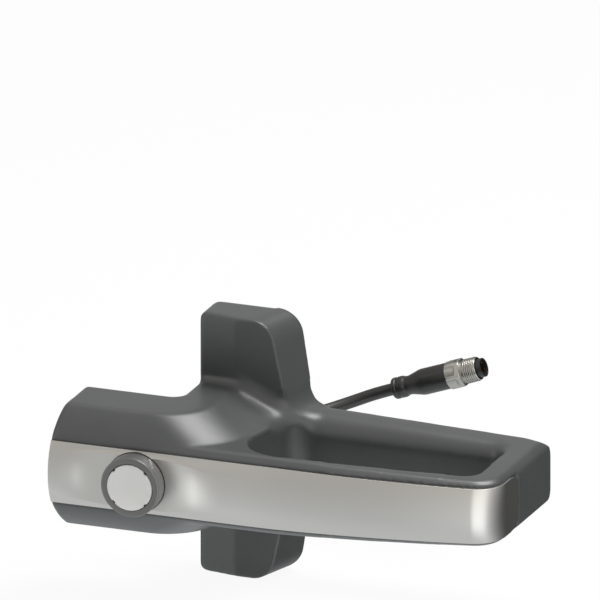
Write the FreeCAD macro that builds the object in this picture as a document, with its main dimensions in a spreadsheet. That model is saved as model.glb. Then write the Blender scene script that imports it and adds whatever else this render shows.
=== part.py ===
import FreeCAD, Part
import math
import os
import re
import Sketcher

# Guard door grip handle with a built in push button and a plug on a short cable.
# Origin: centre of the rear mounting face. X to the grip, Y back to the door, Z up.
# A depth is a distance in front of the mounting face, so it counts along minus Y.

Vector = FreeCAD.Vector
Rotation = FreeCAD.Rotation
Placement = FreeCAD.Placement

os.makedirs("parts", exist_ok=True)
doc = FreeCAD.newDocument("GripHandle")

# Driving sizes
sizes = {
    # housing, seen from above
    "leftEnd": -74.2,
    "rightEnd": 148.9,
    "stripDepth": 85.3,
    "bendStart": 24.0,
    "frontRadius": 620.0,
    "cornerRadius": 15.0,
    "taperStart": 40.0,
    # half heights
    "stripHalf": 15.5,
    "stripEndHalf": 13.5,
    "loopHalf": 19.35,
    "loopEndHalf": 16.2,
    "hubHalf": 30.45,
    "flangeHalf": 65.3,
    # button end of the housing
    "hubCreaseDrop": 13.6,
    "hubBackDepth": 43.6,
    "hubBackRound": 2.5,
    "hubInnerCorner": 6.0,
    "hubEndBevel": 1.6,
    "creaseArcX": -30.0,
    "creaseArcRadius": 26.0,
    "footArcX": -6.2,
    "footArcRadius": 28.3,
    "footTilt": 12.8,
    # mounting flange
    "flangeLeft": -23.5,
    "flangeFront": 22.2,
    "flangeSlant": 3.4,
    "flangeFrontFoot": 23.4,
    "flangeFrontTop": 13.6,
    "flangeBackFoot": 28.2,
    "flangeBackTop": 21.0,
    "flangeLeftRound": 4.0,
    "flangeRightRound": 11.0,
    "flangeCove": 9.0,
    "coveSmall": 2.5,
    "coveLarge": 8.0,
    # grip opening
    "openingBack": 19.5,
    "openingRight": 134.4,
    "openingLeftX": 17.2,
    "openingLeftDepth": 57.1,
    "openingFlare": 0.2,
    "openingBackLeftRound": 12.0,
    "openingBackRightRound": 10.0,
    "openingFrontRightRound": 10.0,
    "openingFrontStart": 40.0,
    "openingFrontEnd": 124.4,
    "gripWallStart": 7.7,
    "gripWallMiddle": 9.8,
    "gripWallEnd": 11.3,
    "backEdgeRound": 4.5,
    # trim strip
    "stripRise": 4.4,
    "stripBack": 1.7,
    "cornerSections": 8,
    "sideCrown": 0.05,
    "stripEndDepth": 43.8,
    "stripGap": 0.3,
    "stripEndRound": 4.0,
    "seatDepth": 3.0,
    "seatMargin": 0.05,
    "seatLeft": -45.2,
    "seatRight": -14.8,
    "rampLength": 29.0,
    # push button, on an axis across the door
    "buttonX": -30.0,
    "collarRadius": 14.8,
    "collarHeight": 8.1,
    "collarBore": 11.75,
    "collarBevel": 1.2,
    "lensRadius": 11.35,
    "lensProud": 0.7,
    "lensThickness": 1.3,
    "lensBevel": 0.4,
    "headThickness": 1.2,
    "barrelRadius": 11.0,
    "barrelRise": 3.3,
    "barrelBore": 9.6,
    "barrelFlange": 12.4,
    "barrelDepth": 17.3,
    "capDepth": 3.3,
    "plungerRadius": 2.0,
    "plungerDepth": 24.7,
    "springRadius": 5.0,
    "springWire": 0.8,
    "springTurns": 3.0,
    "springRuns": 16,
    "buttonTravel": 2.5,
    "seatClearance": 0.05,
    "slideClearance": 0.3,
    "gasketRadius": 14.4,
    "gasketThickness": 0.6,
    # electrics space behind the button
    "carrierLeft": -66.0,
    "carrierRight": 12.0,
    "carrierHalf": 14.2,
    "carrierThickness": 4.0,
    "carrierClearance": 0.2,
    "cavityLeft": -56.0,
    "cavityRight": 2.0,
    "cavityHalf": 12.6,
    "cavityDepth": 36.7,
    "carrierScrewInset": 5.0,
    "carrierScrewRadius": 1.5,
    "carrierScrewHead": 2.75,
    "carrierScrewHeadHeight": 2.2,
    "carrierScrewLength": 10.0,
    "blockHalfWidth": 11.5,
    "blockHalfHeight": 9.5,
    "blockDepth": 32.1,
    "chamberHalfWidth": 8.5,
    "chamberHalfHeight": 3.0,
    "chamberWall": 2.0,
    "bridgeHalfWidth": 7.5,
    "bridgeHalfHeight": 1.6,
    "bridgeThickness": 0.8,
    "contactX": 6.0,
    "contactHalf": 0.8,
    "contactGap": 0.2,
    "boardThickness": 1.6,
    "boardLeft": -52.0,
    "boardRight": 1.0,
    "boardHalf": 10.5,
    "terminalLeft": -14.0,
    "terminalRight": -8.0,
    "terminalHalf": 7.5,
    "terminalHeight": 2.4,
    # cable outlet in the mounting face
    "outletX": -3.0,
    "cableRadius": 2.95,
    "cableSides": 12,
    "leadBore": 4.0,
    "glandBore": 6.0,
    "glandDepth": 14.0,
    "glandTail": 10.0,
    "glandTailRadius": 3.8,
    # threaded inserts
    "insertX": 12.0,
    "insertZ": 50.0,
    "insertRadius": 3.5,
    "insertLength": 10.0,
    "insertBore": 2.1,
    "insertHoleDepth": 12.0,
    # hollows of the moulding, open to the mounting face
    "cellWidth": 20.0,
    "cellHalfHeight": 9.0,
    "cellDepth": 14.0,
    "cellPitch": 22.0,
    "cellStart": 44.0,
    "cellCount": 4,
    "stemCellHalfWidth": 7.5,
    "stemCellHeight": 18.0,
    "stemCellOffset": 9.5,
    "stemCellLow": 14.0,
    "stemCellDepth": 17.0,
    # plug on the cable
    "plugRearRadius": 5.2,
    "plugRearLength": 6.0,
    "plugNeckRadius": 4.75,
    "plugNeckEnd": 9.0,
    "plugConeEnd": 15.0,
    "plugBodyRadius": 6.4,
    "plugBodyEnd": 33.0,
    "plugStemRadius": 4.9,
    "plugStemEnd": 40.5,
    "nutStart": 30.0,
    "nutFlangeRadius": 7.2,
    "nutFlangeEnd": 38.0,
    "nutThreadRadius": 6.0,
    "nutEnd": 45.6,
    "nutBore": 5.2,
    "nutRearBore": 6.7,
    "nutShoulder": 35.0,
    "insulatorRadius": 4.6,
    "insulatorEnd": 48.2,
    "insulatorRimWall": 0.7,
    "insulatorFloor": 43.5,
    "pinRadius": 0.5,
    "pinCircle": 2.6,
    "pinCount": 4,
    "pinEnd": 47.2,
}

sheet = doc.addObject("Spreadsheet::Sheet", "Sizes")
for row, (alias, number) in enumerate(sizes.items(), start=1):
    sheet.set("A%d" % row, alias)
    sheet.set("B%d" % row, str(number))
    sheet.setAlias("B%d" % row, alias)
doc.recompute()


def value(formula):
    # sum and difference of sheet values and plain numbers, such as "lensFront - lensThickness"
    total = 0.0
    sign = 1.0
    for word in formula.split():
        if word in ("+", "-"):
            sign = 1.0 if word == "+" else -1.0
        else:
            total += sign * float(sheet.get(word) if word in sizes else word)
    return total


def linked(formula):
    # the same formula with each word pointing at its cell
    return re.sub(r"[A-Za-z]+", lambda word: "Sizes." + word.group(), formula)


def bind(piece, **formulas):
    for name, formula in formulas.items():
        piece.setExpression(name.replace("_", "."), linked(formula))


# Depths in front of the mounting face that follow the strip's front
seatFace = "stripDepth + stripRise - seatDepth"
collarFront = seatFace + " + collarHeight"
lensFront = collarFront + " + lensProud"
barrelFront = seatFace + " + barrelRise"
carrierFront = "stripDepth - stripBack"
carrierBack = carrierFront + " - carrierThickness"
barrelBack = "stripDepth - barrelDepth"
skirtBack = "stripDepth - capDepth"
plungerTip = "stripDepth - plungerDepth"
blockBack = "stripDepth - blockDepth"
cavityFloor = "stripDepth - cavityDepth"
beyond = 60  # how far a cutting block reaches past what it cuts

# Shared makers


def feature(name, shape):
    piece = doc.addObject("Part::Feature", name)
    piece.Shape = shape
    return piece


def slabBox(name, x, y, z):
    # box between two formulas along each axis
    piece = doc.addObject("Part::Box", name)
    bind(
        piece,
        Length="%s - %s" % (x[1], negated(x[0])),
        Width="%s - %s" % (y[1], negated(y[0])),
        Height="%s - %s" % (z[1], negated(z[0])),
        Placement_Base_x=x[0],
        Placement_Base_y=y[0],
        Placement_Base_z=z[0],
    )
    return piece


def negated(formula):
    # formula to be taken away: its inner signs turn round
    swapped = formula.replace(" + ", " # ").replace(" - ", " + ").replace(" # ", " - ")
    if swapped.startswith("- "):
        return "0 + " + swapped[2:]
    return swapped


def behind(depth):
    # the Y coordinate of a depth
    return "0 - " + negated(depth)


def disc(name, radius, front, back, x="buttonX", z="0"):
    # round piece along Y between two depths
    piece = doc.addObject("Part::Cylinder", name)
    piece.Placement.Rotation = Rotation(Vector(1, 0, 0), -90)
    bind(
        piece,
        Radius=radius,
        Height="%s - %s" % (front, negated(back)),
        Placement_Base_x=x,
        Placement_Base_y="0 - %s" % negated(front),
        Placement_Base_z=z,
    )
    return piece


def fused(name, pieces):
    piece = doc.addObject("Part::MultiFuse", name)
    piece.Shapes = pieces
    piece.Refine = True
    return piece


def grouped(name, pieces):
    # separate solids in one node
    piece = doc.addObject("Part::Compound", name)
    piece.Links = pieces
    return piece


def cutFrom(name, base, tool):
    piece = doc.addObject("Part::Cut", name)
    piece.Base = base
    piece.Tool = tool
    return piece


def nearestEdge(shape, point):
    # number of the edge that passes nearest to a point
    spot = Part.Vertex(point)
    distances = [edge.distToShape(spot)[0] for edge in shape.Edges]
    return distances.index(min(distances)) + 1


def rounded(name, base, radius, points):
    # one radius along the edges at these points
    doc.recompute()
    edges = [base.Shape.Edges[nearestEdge(base.Shape, point) - 1] for point in points]
    return feature(name, base.Shape.makeFillet(radius, edges))


def growingRound(name, base, point, first, last):
    # radius that grows from the first end of the edge to its last end
    doc.recompute()
    piece = doc.addObject("Part::Fillet", name)
    piece.Base = base
    piece.Edges = [(nearestEdge(base.Shape, point), first, last)]
    doc.recompute()
    return piece


def revolved(name, points):
    # turned piece: each point is a radius and a distance along the body's Y axis
    body = doc.addObject("PartDesign::Body", name)
    sketch = body.newObject("Sketcher::SketchObject", name + "Profile")
    plane = next(item for item in body.Origin.OriginFeatures if item.Role == "XY_Plane")
    sketch.AttachmentSupport = [(plane, "")]
    sketch.MapMode = "FlatFace"
    corners = [Vector(value(radius), value(distance), 0) for radius, distance in points]
    for index, corner in enumerate(corners):
        following = corners[(index + 1) % len(corners)]
        sketch.addGeometry(Part.LineSegment(corner, following), False)
    for index in range(len(corners)):
        following = (index + 1) % len(corners)
        sketch.addConstraint(Sketcher.Constraint("Coincident", index, 2, following, 1))
    for index, (radius, distance) in enumerate(points):
        if radius == "0":
            sketch.addConstraint(Sketcher.Constraint("PointOnObject", index, 1, -2))
        else:
            place = sketch.addConstraint(
                Sketcher.Constraint("DistanceX", index, 1, corners[index].x)
            )
            sketch.setExpression("Constraints[%d]" % place, linked(radius))
        if distance == "0":
            sketch.addConstraint(Sketcher.Constraint("PointOnObject", index, 1, -1))
        else:
            place = sketch.addConstraint(
                Sketcher.Constraint("DistanceY", index, 1, corners[index].y)
            )
            sketch.setExpression("Constraints[%d]" % place, linked(distance))
    turn = body.newObject("PartDesign::Revolution", name + "Turn")
    turn.Profile = sketch
    turn.ReferenceAxis = (sketch, ["V_Axis"])
    turn.Angle = 360.0
    sketch.Visibility = False
    doc.recompute()
    return body


def faceForward(body, x="buttonX"):
    # turned pieces of the button: their Y axis becomes the depth in front of the mounting face
    body.Placement = Placement(Vector(0, 0, 0), Rotation(Vector(0, 0, 1), 180))
    bind(body, Placement_Base_x=x)


def polygonPrism(points, start, height):
    # upright prism on plan points
    corners = [Vector(x, y, start) for x, y in points]
    return Part.Face(Part.makePolygon(corners + corners[:1])).extrude(Vector(0, 0, height))


def filletPoints(before, corner, after, radius):
    # first tangent point, middle and last tangent point of a rounded corner
    inward = (before - corner).normalize()
    outward = (after - corner).normalize()
    halfAngle = math.acos(inward.dot(outward)) / 2
    reach = radius / math.tan(halfAngle)
    middleLine = (inward + outward).normalize()
    centre = corner + middleLine * (radius / math.sin(halfAngle))
    return corner + inward * reach, centre - middleLine * radius, corner + outward * reach


def arcEdge(first, middle, last):
    return Part.Arc(first, middle, last).toShape()


# Plan lines of the housing: the front bends away on one large arc and turns a round corner

leftEnd = value("leftEnd")
rightEnd = value("rightEnd")
stripDepth = value("stripDepth")
bendStart = value("bendStart")
frontRadius = value("frontRadius")
cornerRadius = value("cornerRadius")
taperStart = value("taperStart")
stripHalf = value("stripHalf")
stripEndHalf = value("stripEndHalf")
loopHalf = value("loopHalf")
loopEndHalf = value("loopEndHalf")
lip = loopHalf - stripHalf
bendCentre = frontRadius - stripDepth
cornerX = rightEnd - cornerRadius
cornerY = bendCentre - math.sqrt((frontRadius - cornerRadius) ** 2 - (cornerX - bendStart) ** 2)
cornerAngle = math.atan2(cornerX - bendStart, bendCentre - cornerY)
innerX = taperStart - 50
kinkX = value("creaseArcX + creaseArcRadius")


def taperedHeight(x, start, end):
    return start + (end - start) * max(0.0, x - taperStart) / (rightEnd - taperStart)


def frontPoint(angle, inset, z):
    radius = frontRadius - inset
    return Vector(bendStart + radius * math.sin(angle), bendCentre - radius * math.cos(angle), z)


def planArcs(inset, angle, level):
    # front arc from an angle to the corner, then the corner arc
    def lifted(point):
        return Vector(point.x, point.y, level(point.x))

    def cornerPoint(turn):
        radius = cornerRadius - inset
        return Vector(cornerX + radius * math.sin(turn), cornerY - radius * math.cos(turn), 0)

    first = lifted(frontPoint(angle, inset, 0))
    middle = lifted(frontPoint((angle + cornerAngle) / 2, inset, 0))
    meeting = lifted(frontPoint(cornerAngle, inset, 0))
    cornerMiddle = lifted(cornerPoint((cornerAngle + math.pi / 2) / 2))
    side = lifted(cornerPoint(math.pi / 2))
    return [arcEdge(first, middle, meeting), arcEdge(meeting, cornerMiddle, side)], first, side


def gripSection(inset, start, end):
    # plan of the bars right of the taper's start, lifted to the sloping height
    def level(x):
        return taperedHeight(x, start, end)

    startAngle = math.asin((taperStart - bendStart) / (frontRadius - inset))
    arcs, first, side = planArcs(inset, startAngle, level)
    backRight = Vector(side.x, 0, level(side.x))
    backLeft = Vector(taperStart, 0, level(taperStart))
    lines = [
        Part.makeLine(side, backRight),
        Part.makeLine(backRight, backLeft),
        Part.makeLine(backLeft, first),
    ]
    return Part.Wire(arcs + lines)


def rootSection(inset, height):
    # plan of the level stretch left of the taper's start
    endAngle = math.asin((taperStart - bendStart) / (frontRadius - inset))
    frontLeft = Vector(innerX, -stripDepth + inset, height)
    bend = frontPoint(0, inset, height)
    middle = frontPoint(endAngle / 2, inset, height)
    frontRight = frontPoint(endAngle, inset, height)
    backRight = Vector(taperStart, 0, height)
    backLeft = Vector(innerX, 0, height)
    return Part.Wire(
        [
            Part.makeLine(frontLeft, bend),
            arcEdge(bend, middle, frontRight),
            Part.makeLine(frontRight, backRight),
            Part.makeLine(backRight, backLeft),
            Part.makeLine(backLeft, frontLeft),
        ]
    )


def hubSection(height, front, arcX, arcRadius, tilt):
    # plan of the button end: flat front, one arc that sweeps back into the flange
    lean = math.radians(tilt)
    hubBack = value("hubBackDepth")
    innerCorner = value("hubInnerCorner")
    flangeLeft = value("flangeLeft")
    flangeFront = value("flangeFront")
    arcY = arcRadius - front

    def point(x, y):
        return Vector(x, y, height)

    def arcPoint(turn):
        return point(arcX + arcRadius * math.sin(turn), arcY - arcRadius * math.cos(turn))

    sweepEnd = arcPoint(math.pi / 2 - lean)
    footX = sweepEnd.x + (-flangeFront - sweepEnd.y) * math.tan(lean)
    quarter = innerCorner * math.cos(math.pi / 4)
    corners = [
        point(leftEnd, -front),
        point(arcX, -front),
        sweepEnd,
        point(footX, -flangeFront),
        point(kinkX, -flangeFront + 7),
        point(flangeLeft, -flangeFront + 12),
        point(flangeLeft, innerCorner - hubBack),
        point(flangeLeft - innerCorner, -hubBack),
        point(leftEnd, -hubBack),
    ]
    sweepMiddle = arcPoint((math.pi / 2 - lean) / 2)
    cornerMiddle = point(
        flangeLeft - innerCorner + quarter, -hubBack + innerCorner - quarter
    )
    edges = []
    for index, corner in enumerate(corners):
        following = corners[(index + 1) % len(corners)]
        if index == 1:
            edges.append(arcEdge(corner, sweepMiddle, following))
        elif index == 6:
            edges.append(arcEdge(corner, cornerMiddle, following))
        else:
            edges.append(Part.makeLine(corner, following))
    return Part.Wire(edges)


def flangeSection(depth, foot, top):
    # half of the flange seen from the front, with its cove down to the grip
    height = value("flangeHalf")
    base = Vector(value("flangeLeft"), -depth, 0)
    topLeft = Vector(base.x, -depth, height)
    topRight = Vector(top, -depth, height)
    footRight = Vector(foot, -depth, loopHalf)
    beyond = Vector(taperStart - 2, -depth, loopHalf)
    corners = [
        filletPoints(base, topLeft, topRight, value("flangeLeftRound")),
        filletPoints(topLeft, topRight, footRight, value("flangeRightRound")),
        filletPoints(topRight, footRight, beyond, value("flangeCove")),
    ]
    edges = []
    last = base
    for first, middle, end in corners:
        edges += [Part.makeLine(last, first), arcEdge(first, middle, end)]
        last = end
    below = Vector(last.x, -depth, 0)
    edges += [Part.makeLine(last, below), Part.makeLine(below, base)]
    return Part.Wire(edges)


def loft(name, sections):
    return feature(name, Part.makeLoft(sections, True, True))


# Housing, upper half


def slantedFront():
    # wedge that leans the left half of the flange's front back from the kink
    front = -value("flangeFront")
    slope = value("flangeSlant") / (kinkX - value("flangeLeft"))
    endX = value("flangeLeft") - 1
    points = [(kinkX, front), (endX, front - 1), (endX, front + slope * (kinkX - endX))]
    return feature("flangeWedge", polygonPrism(points, -1, value("flangeHalf") + 5))


def sweepBase():
    # block behind the button end's foot, so that its coves run onto flat faces
    flangeLeft = value("flangeLeft")
    flangeFront = value("flangeFront")
    rightX = taperStart - 4
    points = [
        (flangeLeft, -5),
        (flangeLeft, value("flangeSlant") - flangeFront),
        (kinkX, -flangeFront),
        (rightX, -flangeFront),
        (rightX, -5),
    ]
    return feature("sweepBase", polygonPrism(points, 10, value("flangeHalf") - 25))


def sweepTrim():
    # space right of the flange's side and above the grip, cleared from the button end
    foot = value("flangeFrontFoot")
    slope = (foot - value("flangeFrontTop")) / (value("flangeHalf") - loopHalf)
    front = -value("flangeFront") - value("coveLarge") - 4
    high = value("flangeHalf") + 15
    corners = [
        Vector(foot, front, loopHalf),
        Vector(foot + 40, front, loopHalf),
        Vector(foot + 40, front, high),
        Vector(foot - slope * (high - loopHalf), front, high),
    ]
    face = Part.Face(Part.makePolygon(corners + corners[:1]))
    return feature("sweepTrim", face.extrude(Vector(0, 6 - front, 0)))


def backRounding(name, start, end):
    # space outside the rounded upper back edge, along the edge and a little past both ends
    radius = value("backEdgeRound")
    along = (end - start).normalize()
    raised = Vector(-along.z, 0, along.x)
    back = Vector(0, 1, 0)
    corner = start - along * 5
    bulge = radius * (1 - math.cos(math.pi / 4))
    tangentBack = corner - raised * radius
    middle = corner - (raised + back) * bulge
    tangentTop = corner - back * radius
    corners = [
        tangentTop,
        tangentTop + raised * 2,
        corner + raised * 2 + back * 2,
        tangentBack + back * 2,
        tangentBack,
    ]
    edges = [arcEdge(tangentBack, middle, tangentTop)]
    edges += [Part.makeLine(first, last) for first, last in zip(corners, corners[1:])]
    face = Part.Face(Part.Wire(edges))
    return feature(name, face.extrude(along * ((end - start).Length + 10)))


def openingWire(height):
    # plan of the grip opening
    back = -value("openingBack")
    right = value("openingRight")
    leftX = value("openingLeftX")
    leftY = -value("openingLeftDepth")
    backLeftX = leftX + value("openingFlare") * (back - leftY)
    startX = value("openingFrontStart")
    endX = value("openingFrontEnd")

    def at(x, y):
        return Vector(x, y, height)

    def frontWall(x, wall):
        return at(x, bendCentre - math.sqrt(frontRadius**2 - (x - bendStart) ** 2) + wall)

    leftStart = at(leftX, leftY)
    rightEndPoint = at(right, leftY - 2)
    backLeft = filletPoints(
        leftStart, at(backLeftX, back), at(right, back), value("openingBackLeftRound")
    )
    backRight = filletPoints(
        at(backLeftX, back), at(right, back), rightEndPoint, value("openingBackRightRound")
    )
    frontStart = frontWall(startX, value("gripWallStart"))
    frontMiddle = frontWall((startX + endX) / 2, value("gripWallMiddle"))
    frontEnd = frontWall(endX, value("gripWallEnd"))
    frontRightRound = value("openingFrontRightRound")
    frontRight = at(right - 0.25 * frontRightRound, (frontEnd.y + rightEndPoint.y) / 2 - 0.7)
    frontLeft = at(leftX + 5.6, (frontStart.y + leftY) / 2 - 3.3)
    return Part.Wire(
        [
            Part.makeLine(leftStart, backLeft[0]),
            arcEdge(*backLeft),
            Part.makeLine(backLeft[2], backRight[0]),
            arcEdge(*backRight),
            Part.makeLine(backRight[2], rightEndPoint),
            arcEdge(rightEndPoint, frontRight, frontEnd),
            arcEdge(frontEnd, frontMiddle, frontStart),
            arcEdge(frontStart, frontLeft, leftStart),
        ]
    )


gripBars = loft(
    "gripBars",
    [
        gripSection(0, 0, 0),
        gripSection(0, stripHalf, stripEndHalf),
        gripSection(lip, loopHalf, loopEndHalf),
    ],
)
gripRoot = loft(
    "gripRoot", [rootSection(0, 0), rootSection(0, stripHalf), rootSection(lip, loopHalf)]
)
backLeft = Vector(innerX, 0, loopHalf)
backBend = Vector(taperStart, 0, loopHalf)
backRight = Vector(rightEnd, 0, loopEndHalf)
squareBars = fused("squareBars", [gripBars, gripRoot])
levelBars = cutFrom("levelBars", squareBars, backRounding("levelRound", backLeft, backBend))
bars = cutFrom("bars", levelBars, backRounding("slopingRound", backBend, backRight))

footArc = (value("stripDepth"), value("footArcX"), value("footArcRadius"), value("footTilt"))
creaseArc = (value("stripDepth - hubCreaseDrop"), value("creaseArcX"), value("creaseArcRadius"), 0)
hubHalf = value("hubHalf")
hubBlock = loft(
    "hubBlock",
    [
        hubSection(0, *footArc),
        hubSection(stripHalf, *footArc),
        hubSection(hubHalf, *creaseArc),
    ],
)
hubBackY = -value("hubBackDepth")
cornerEdge = Vector(
    value("flangeLeft") - value("hubInnerCorner") * (1 - math.cos(math.pi / 4)),
    hubBackY + value("hubInnerCorner") * (1 - math.cos(math.pi / 4)),
    hubHalf,
)
hubSoft = rounded(
    "hubSoft",
    hubBlock,
    value("hubBackRound"),
    [
        Vector(-50, hubBackY, hubHalf),
        cornerEdge,
        Vector(value("flangeLeft"), hubBackY + 18, hubHalf),
    ],
)
doc.recompute()
endPoints = [
    Vector(leftEnd, hubBackY - 12, hubHalf),
    Vector(leftEnd, -stripDepth + 6.8, stripHalf + 7.5),
]
endEdges = [hubSoft.Shape.Edges[nearestEdge(hubSoft.Shape, point) - 1] for point in endPoints]
hubEnd = feature("hubEnd", hubSoft.Shape.makeChamfer(value("hubEndBevel"), endEdges))
sweepBody = fused("sweepBody", [hubEnd, sweepBase()])
coveSmall = value("coveSmall")
coveLarge = value("coveLarge")
flangeFrontY = -value("flangeFront")
leftFoot = Vector(value("flangeLeft") + 10, flangeFrontY + 1.7, hubHalf)
sweepLeft = rounded("sweepLeft", sweepBody, coveSmall, [leftFoot])
rightFoot = Vector(8, flangeFrontY, 25.5)
sweepCove = growingRound("sweepCove", sweepLeft, rightFoot, coveSmall, coveLarge)
buttonEnd = cutFrom("buttonEnd", sweepCove, sweepTrim())
flangeBlock = loft(
    "flangeBlock",
    [
        flangeSection(value("flangeFront"), value("flangeFrontFoot"), value("flangeFrontTop")),
        flangeSection(0, value("flangeBackFoot"), value("flangeBackTop")),
    ],
)
flangeUpper = cutFrom("flangeUpper", flangeBlock, slantedFront())
upperBlock = fused("upperBlock", [bars, buttonEnd, flangeUpper])
openingPrism = feature("openingPrism", Part.Face(openingWire(-1)).extrude(Vector(0, 0, 60)))
upperHalf = cutFrom("upperHalf", upperBlock, openingPrism)
lowerHalf = doc.addObject("Part::Mirroring", "lowerHalf")
lowerHalf.Source = upperHalf
lowerHalf.Normal = Vector(0, 0, 1)
outerForm = fused("outerForm", [upperHalf, lowerHalf])

# Trim strip: crowned band on the front, wrapped round the right end


def stripLine(inset, leftX, backY):
    # plan of all that lies behind the strip's inner face
    arcs, first, side = planArcs(inset, 0, lambda x: 0)
    frontLeft = Vector(leftX, -stripDepth + inset, 0)
    backRight = Vector(side.x, backY, 0)
    backLeft = Vector(leftX, backY, 0)
    lines = [
        Part.makeLine(side, backRight),
        Part.makeLine(backRight, backLeft),
        Part.makeLine(backLeft, frontLeft),
        Part.makeLine(frontLeft, first),
    ]
    return Part.Face(Part.Wire(arcs + lines))


def behindStrip(inset, margin):
    # inner face stands back by the strip's thickness at the front and at the side
    height = 2 * (stripHalf + margin)
    face = stripLine(inset, leftEnd - 20, 20)
    face.translate(Vector(0, 0, -height / 2))
    return face.extrude(Vector(0, 0, height))


def crownBand():
    # crowned front, straight and then bent, whose crown dies away round the corner
    rise = value("stripRise")
    deep = cornerRadius - 3

    def section(place, turn, crown):
        outward = Vector(math.sin(turn), -math.cos(turn), 0)
        high = Vector(0, 0, stripHalf)
        lowEdge = place - high
        highEdge = place + high
        return Part.Wire(
            [
                arcEdge(lowEdge, place + outward * crown, highEdge),
                Part.makeLine(highEdge, highEdge - outward * deep),
                Part.makeLine(highEdge - outward * deep, lowEdge - outward * deep),
                Part.makeLine(lowEdge - outward * deep, lowEdge),
            ]
        )

    start = section(Vector(leftEnd, -stripDepth, 0), 0, rise)
    straight = Part.Face(start).extrude(Vector(bendStart - leftEnd, 0, 0))
    bend = section(Vector(bendStart, -stripDepth, 0), 0, rise)
    axis = Vector(bendStart, bendCentre, 0)
    bent = Part.Face(bend).revolve(axis, Vector(0, 0, 1), math.degrees(cornerAngle))
    sections = [section(frontPoint(cornerAngle, 0, 0), cornerAngle, rise)]
    steps = int(value("cornerSections"))
    for step in range(1, steps + 1):
        share = step / steps
        turn = cornerAngle + (math.pi / 2 - cornerAngle) * share
        spoke = Vector(math.sin(turn), -math.cos(turn), 0) * cornerRadius
        crown = rise * (1 + math.cos(math.pi * share)) / 2 + value("sideCrown")
        sections.append(section(Vector(cornerX, cornerY, 0) + spoke, turn, crown))
    sideEnd = Vector(rightEnd, 3 - value("stripEndDepth"), 0)
    sections.append(section(sideEnd, math.pi / 2, value("sideCrown")))
    corner = Part.makeLoft(sections, True, True)
    return straight.fuse([bent, corner]).removeSplitter()


def taperCutter(margin):
    # space above the strip's sloping upper edge
    low = stripHalf + margin
    high = stripEndHalf + margin
    far = rightEnd + 10
    farHeight = low + (high - low) * (far - taperStart) / (rightEnd - taperStart)
    corners = [
        Vector(taperStart, -200, low),
        Vector(far, -200, farHeight),
        Vector(far, -200, low + 10),
        Vector(taperStart, -200, low + 10),
    ]
    upper = Part.Face(Part.makePolygon(corners + corners[:1])).extrude(Vector(0, 400, 0))
    return upper.fuse(upper.mirror(Vector(0, 0, 0), Vector(0, 0, 1)))


def seatCutter():
    # flat seat under the collar, with a hollow and then rounded ramp up to the crown at each side
    rise = value("seatDepth + seatMargin")
    seatY = -stripDepth - value("stripRise - seatDepth")
    length = value("rampLength")
    radius = (length**2 + rise**2) / (4 * rise)
    steepest = math.asin(length / 2 / radius)

    def ramp(edge, side):
        low = Vector(value(edge), seatY, -beyond)
        high = low + Vector(side * length, -rise, 0)

        def reached(turn):
            return Vector(side * radius * math.sin(turn), -radius * (1 - math.cos(turn)), 0)

        middle = low + reached(steepest)
        hollow = arcEdge(low, low + reached(steepest / 2), middle)
        crest = arcEdge(middle, high - reached(steepest / 2), high)
        return low, high, [hollow, crest]

    leftLow, leftHigh, leftRamp = ramp("seatLeft", -1)
    rightLow, rightHigh, rightRamp = ramp("seatRight", 1)
    out = Vector(0, -beyond, 0)
    lines = [
        Part.makeLine(leftLow, rightLow),
        Part.makeLine(rightHigh, rightHigh + out),
        Part.makeLine(rightHigh + out, leftHigh + out),
        Part.makeLine(leftHigh + out, leftHigh),
    ]
    wire = Part.Wire(lines[:1] + rightRamp + lines[1:] + leftRamp[::-1])
    return Part.Face(wire).extrude(Vector(0, 0, 2 * beyond))


band = feature("crownBand", crownBand())
stripBack = value("stripBack")
stripInner = feature("stripInner", behindStrip(stripBack, 10))
stripSpace = feature(
    "stripSpace",
    Part.makeBox(400, 200, 100, Vector(leftEnd - 50, -value("stripEndDepth"), -50)),
)
stripCuts = fused(
    "stripCuts",
    [
        stripInner,
        stripSpace,
        feature("stripTaper", taperCutter(0)),
        feature("stripSeat", seatCutter()),
    ],
)
stripBand = cutFrom("stripBand", band, stripCuts)
stripPlate = rounded(
    "stripPlate",
    stripBand,
    value("stripEndRound"),
    [
        Vector(rightEnd - stripBack / 2, -value("stripEndDepth"), height)
        for height in (stripEndHalf, -stripEndHalf)
    ],
)
trimStrip = cutFrom(
    "trim_strip", stripPlate, disc("stripHole", "barrelRadius + slideClearance", lensFront, blockBack)
)

# Recess of the strip and the space behind it in the housing

recessSpace = Part.makeBox(
    rightEnd - leftEnd + 20,
    100 - value("stripEndDepth") + value("stripGap"),
    2 * (stripHalf + value("stripGap")),
    Vector(leftEnd - 10, -100, -stripHalf - value("stripGap")),
)
recessSpace = recessSpace.cut(behindStrip(stripBack, 10)).cut(taperCutter(value("stripGap")))
stripRecess = feature("stripRecess", recessSpace)

carrierPocket = slabBox(
    "carrierPocket",
    ("carrierLeft - carrierClearance", "carrierRight + carrierClearance"),
    (behind(carrierFront) + " - 1", behind(carrierBack)),
    ("0 - carrierHalf - carrierClearance", "carrierHalf + carrierClearance"),
)
cavity = slabBox(
    "cavity",
    ("cavityLeft", "cavityRight"),
    (behind(carrierFront), behind(cavityFloor)),
    ("0 - cavityHalf", "cavityHalf"),
)
leadHole = disc("leadHole", "leadBore", cavityFloor + " + 1", "glandDepth - 1", "outletX")
glandHole = disc("glandHole", "glandBore", "glandDepth", "0 - 1", "outletX")

screwPlaces = ("carrierLeft + carrierScrewInset", "carrierRight - carrierScrewInset")
screwHoles = [
    disc(
        "screwHole%d" % index,
        "carrierScrewRadius",
        carrierFront,
        carrierFront + " - carrierScrewLength - 1",
        x,
    )
    for index, x in enumerate(screwPlaces)
]

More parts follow.
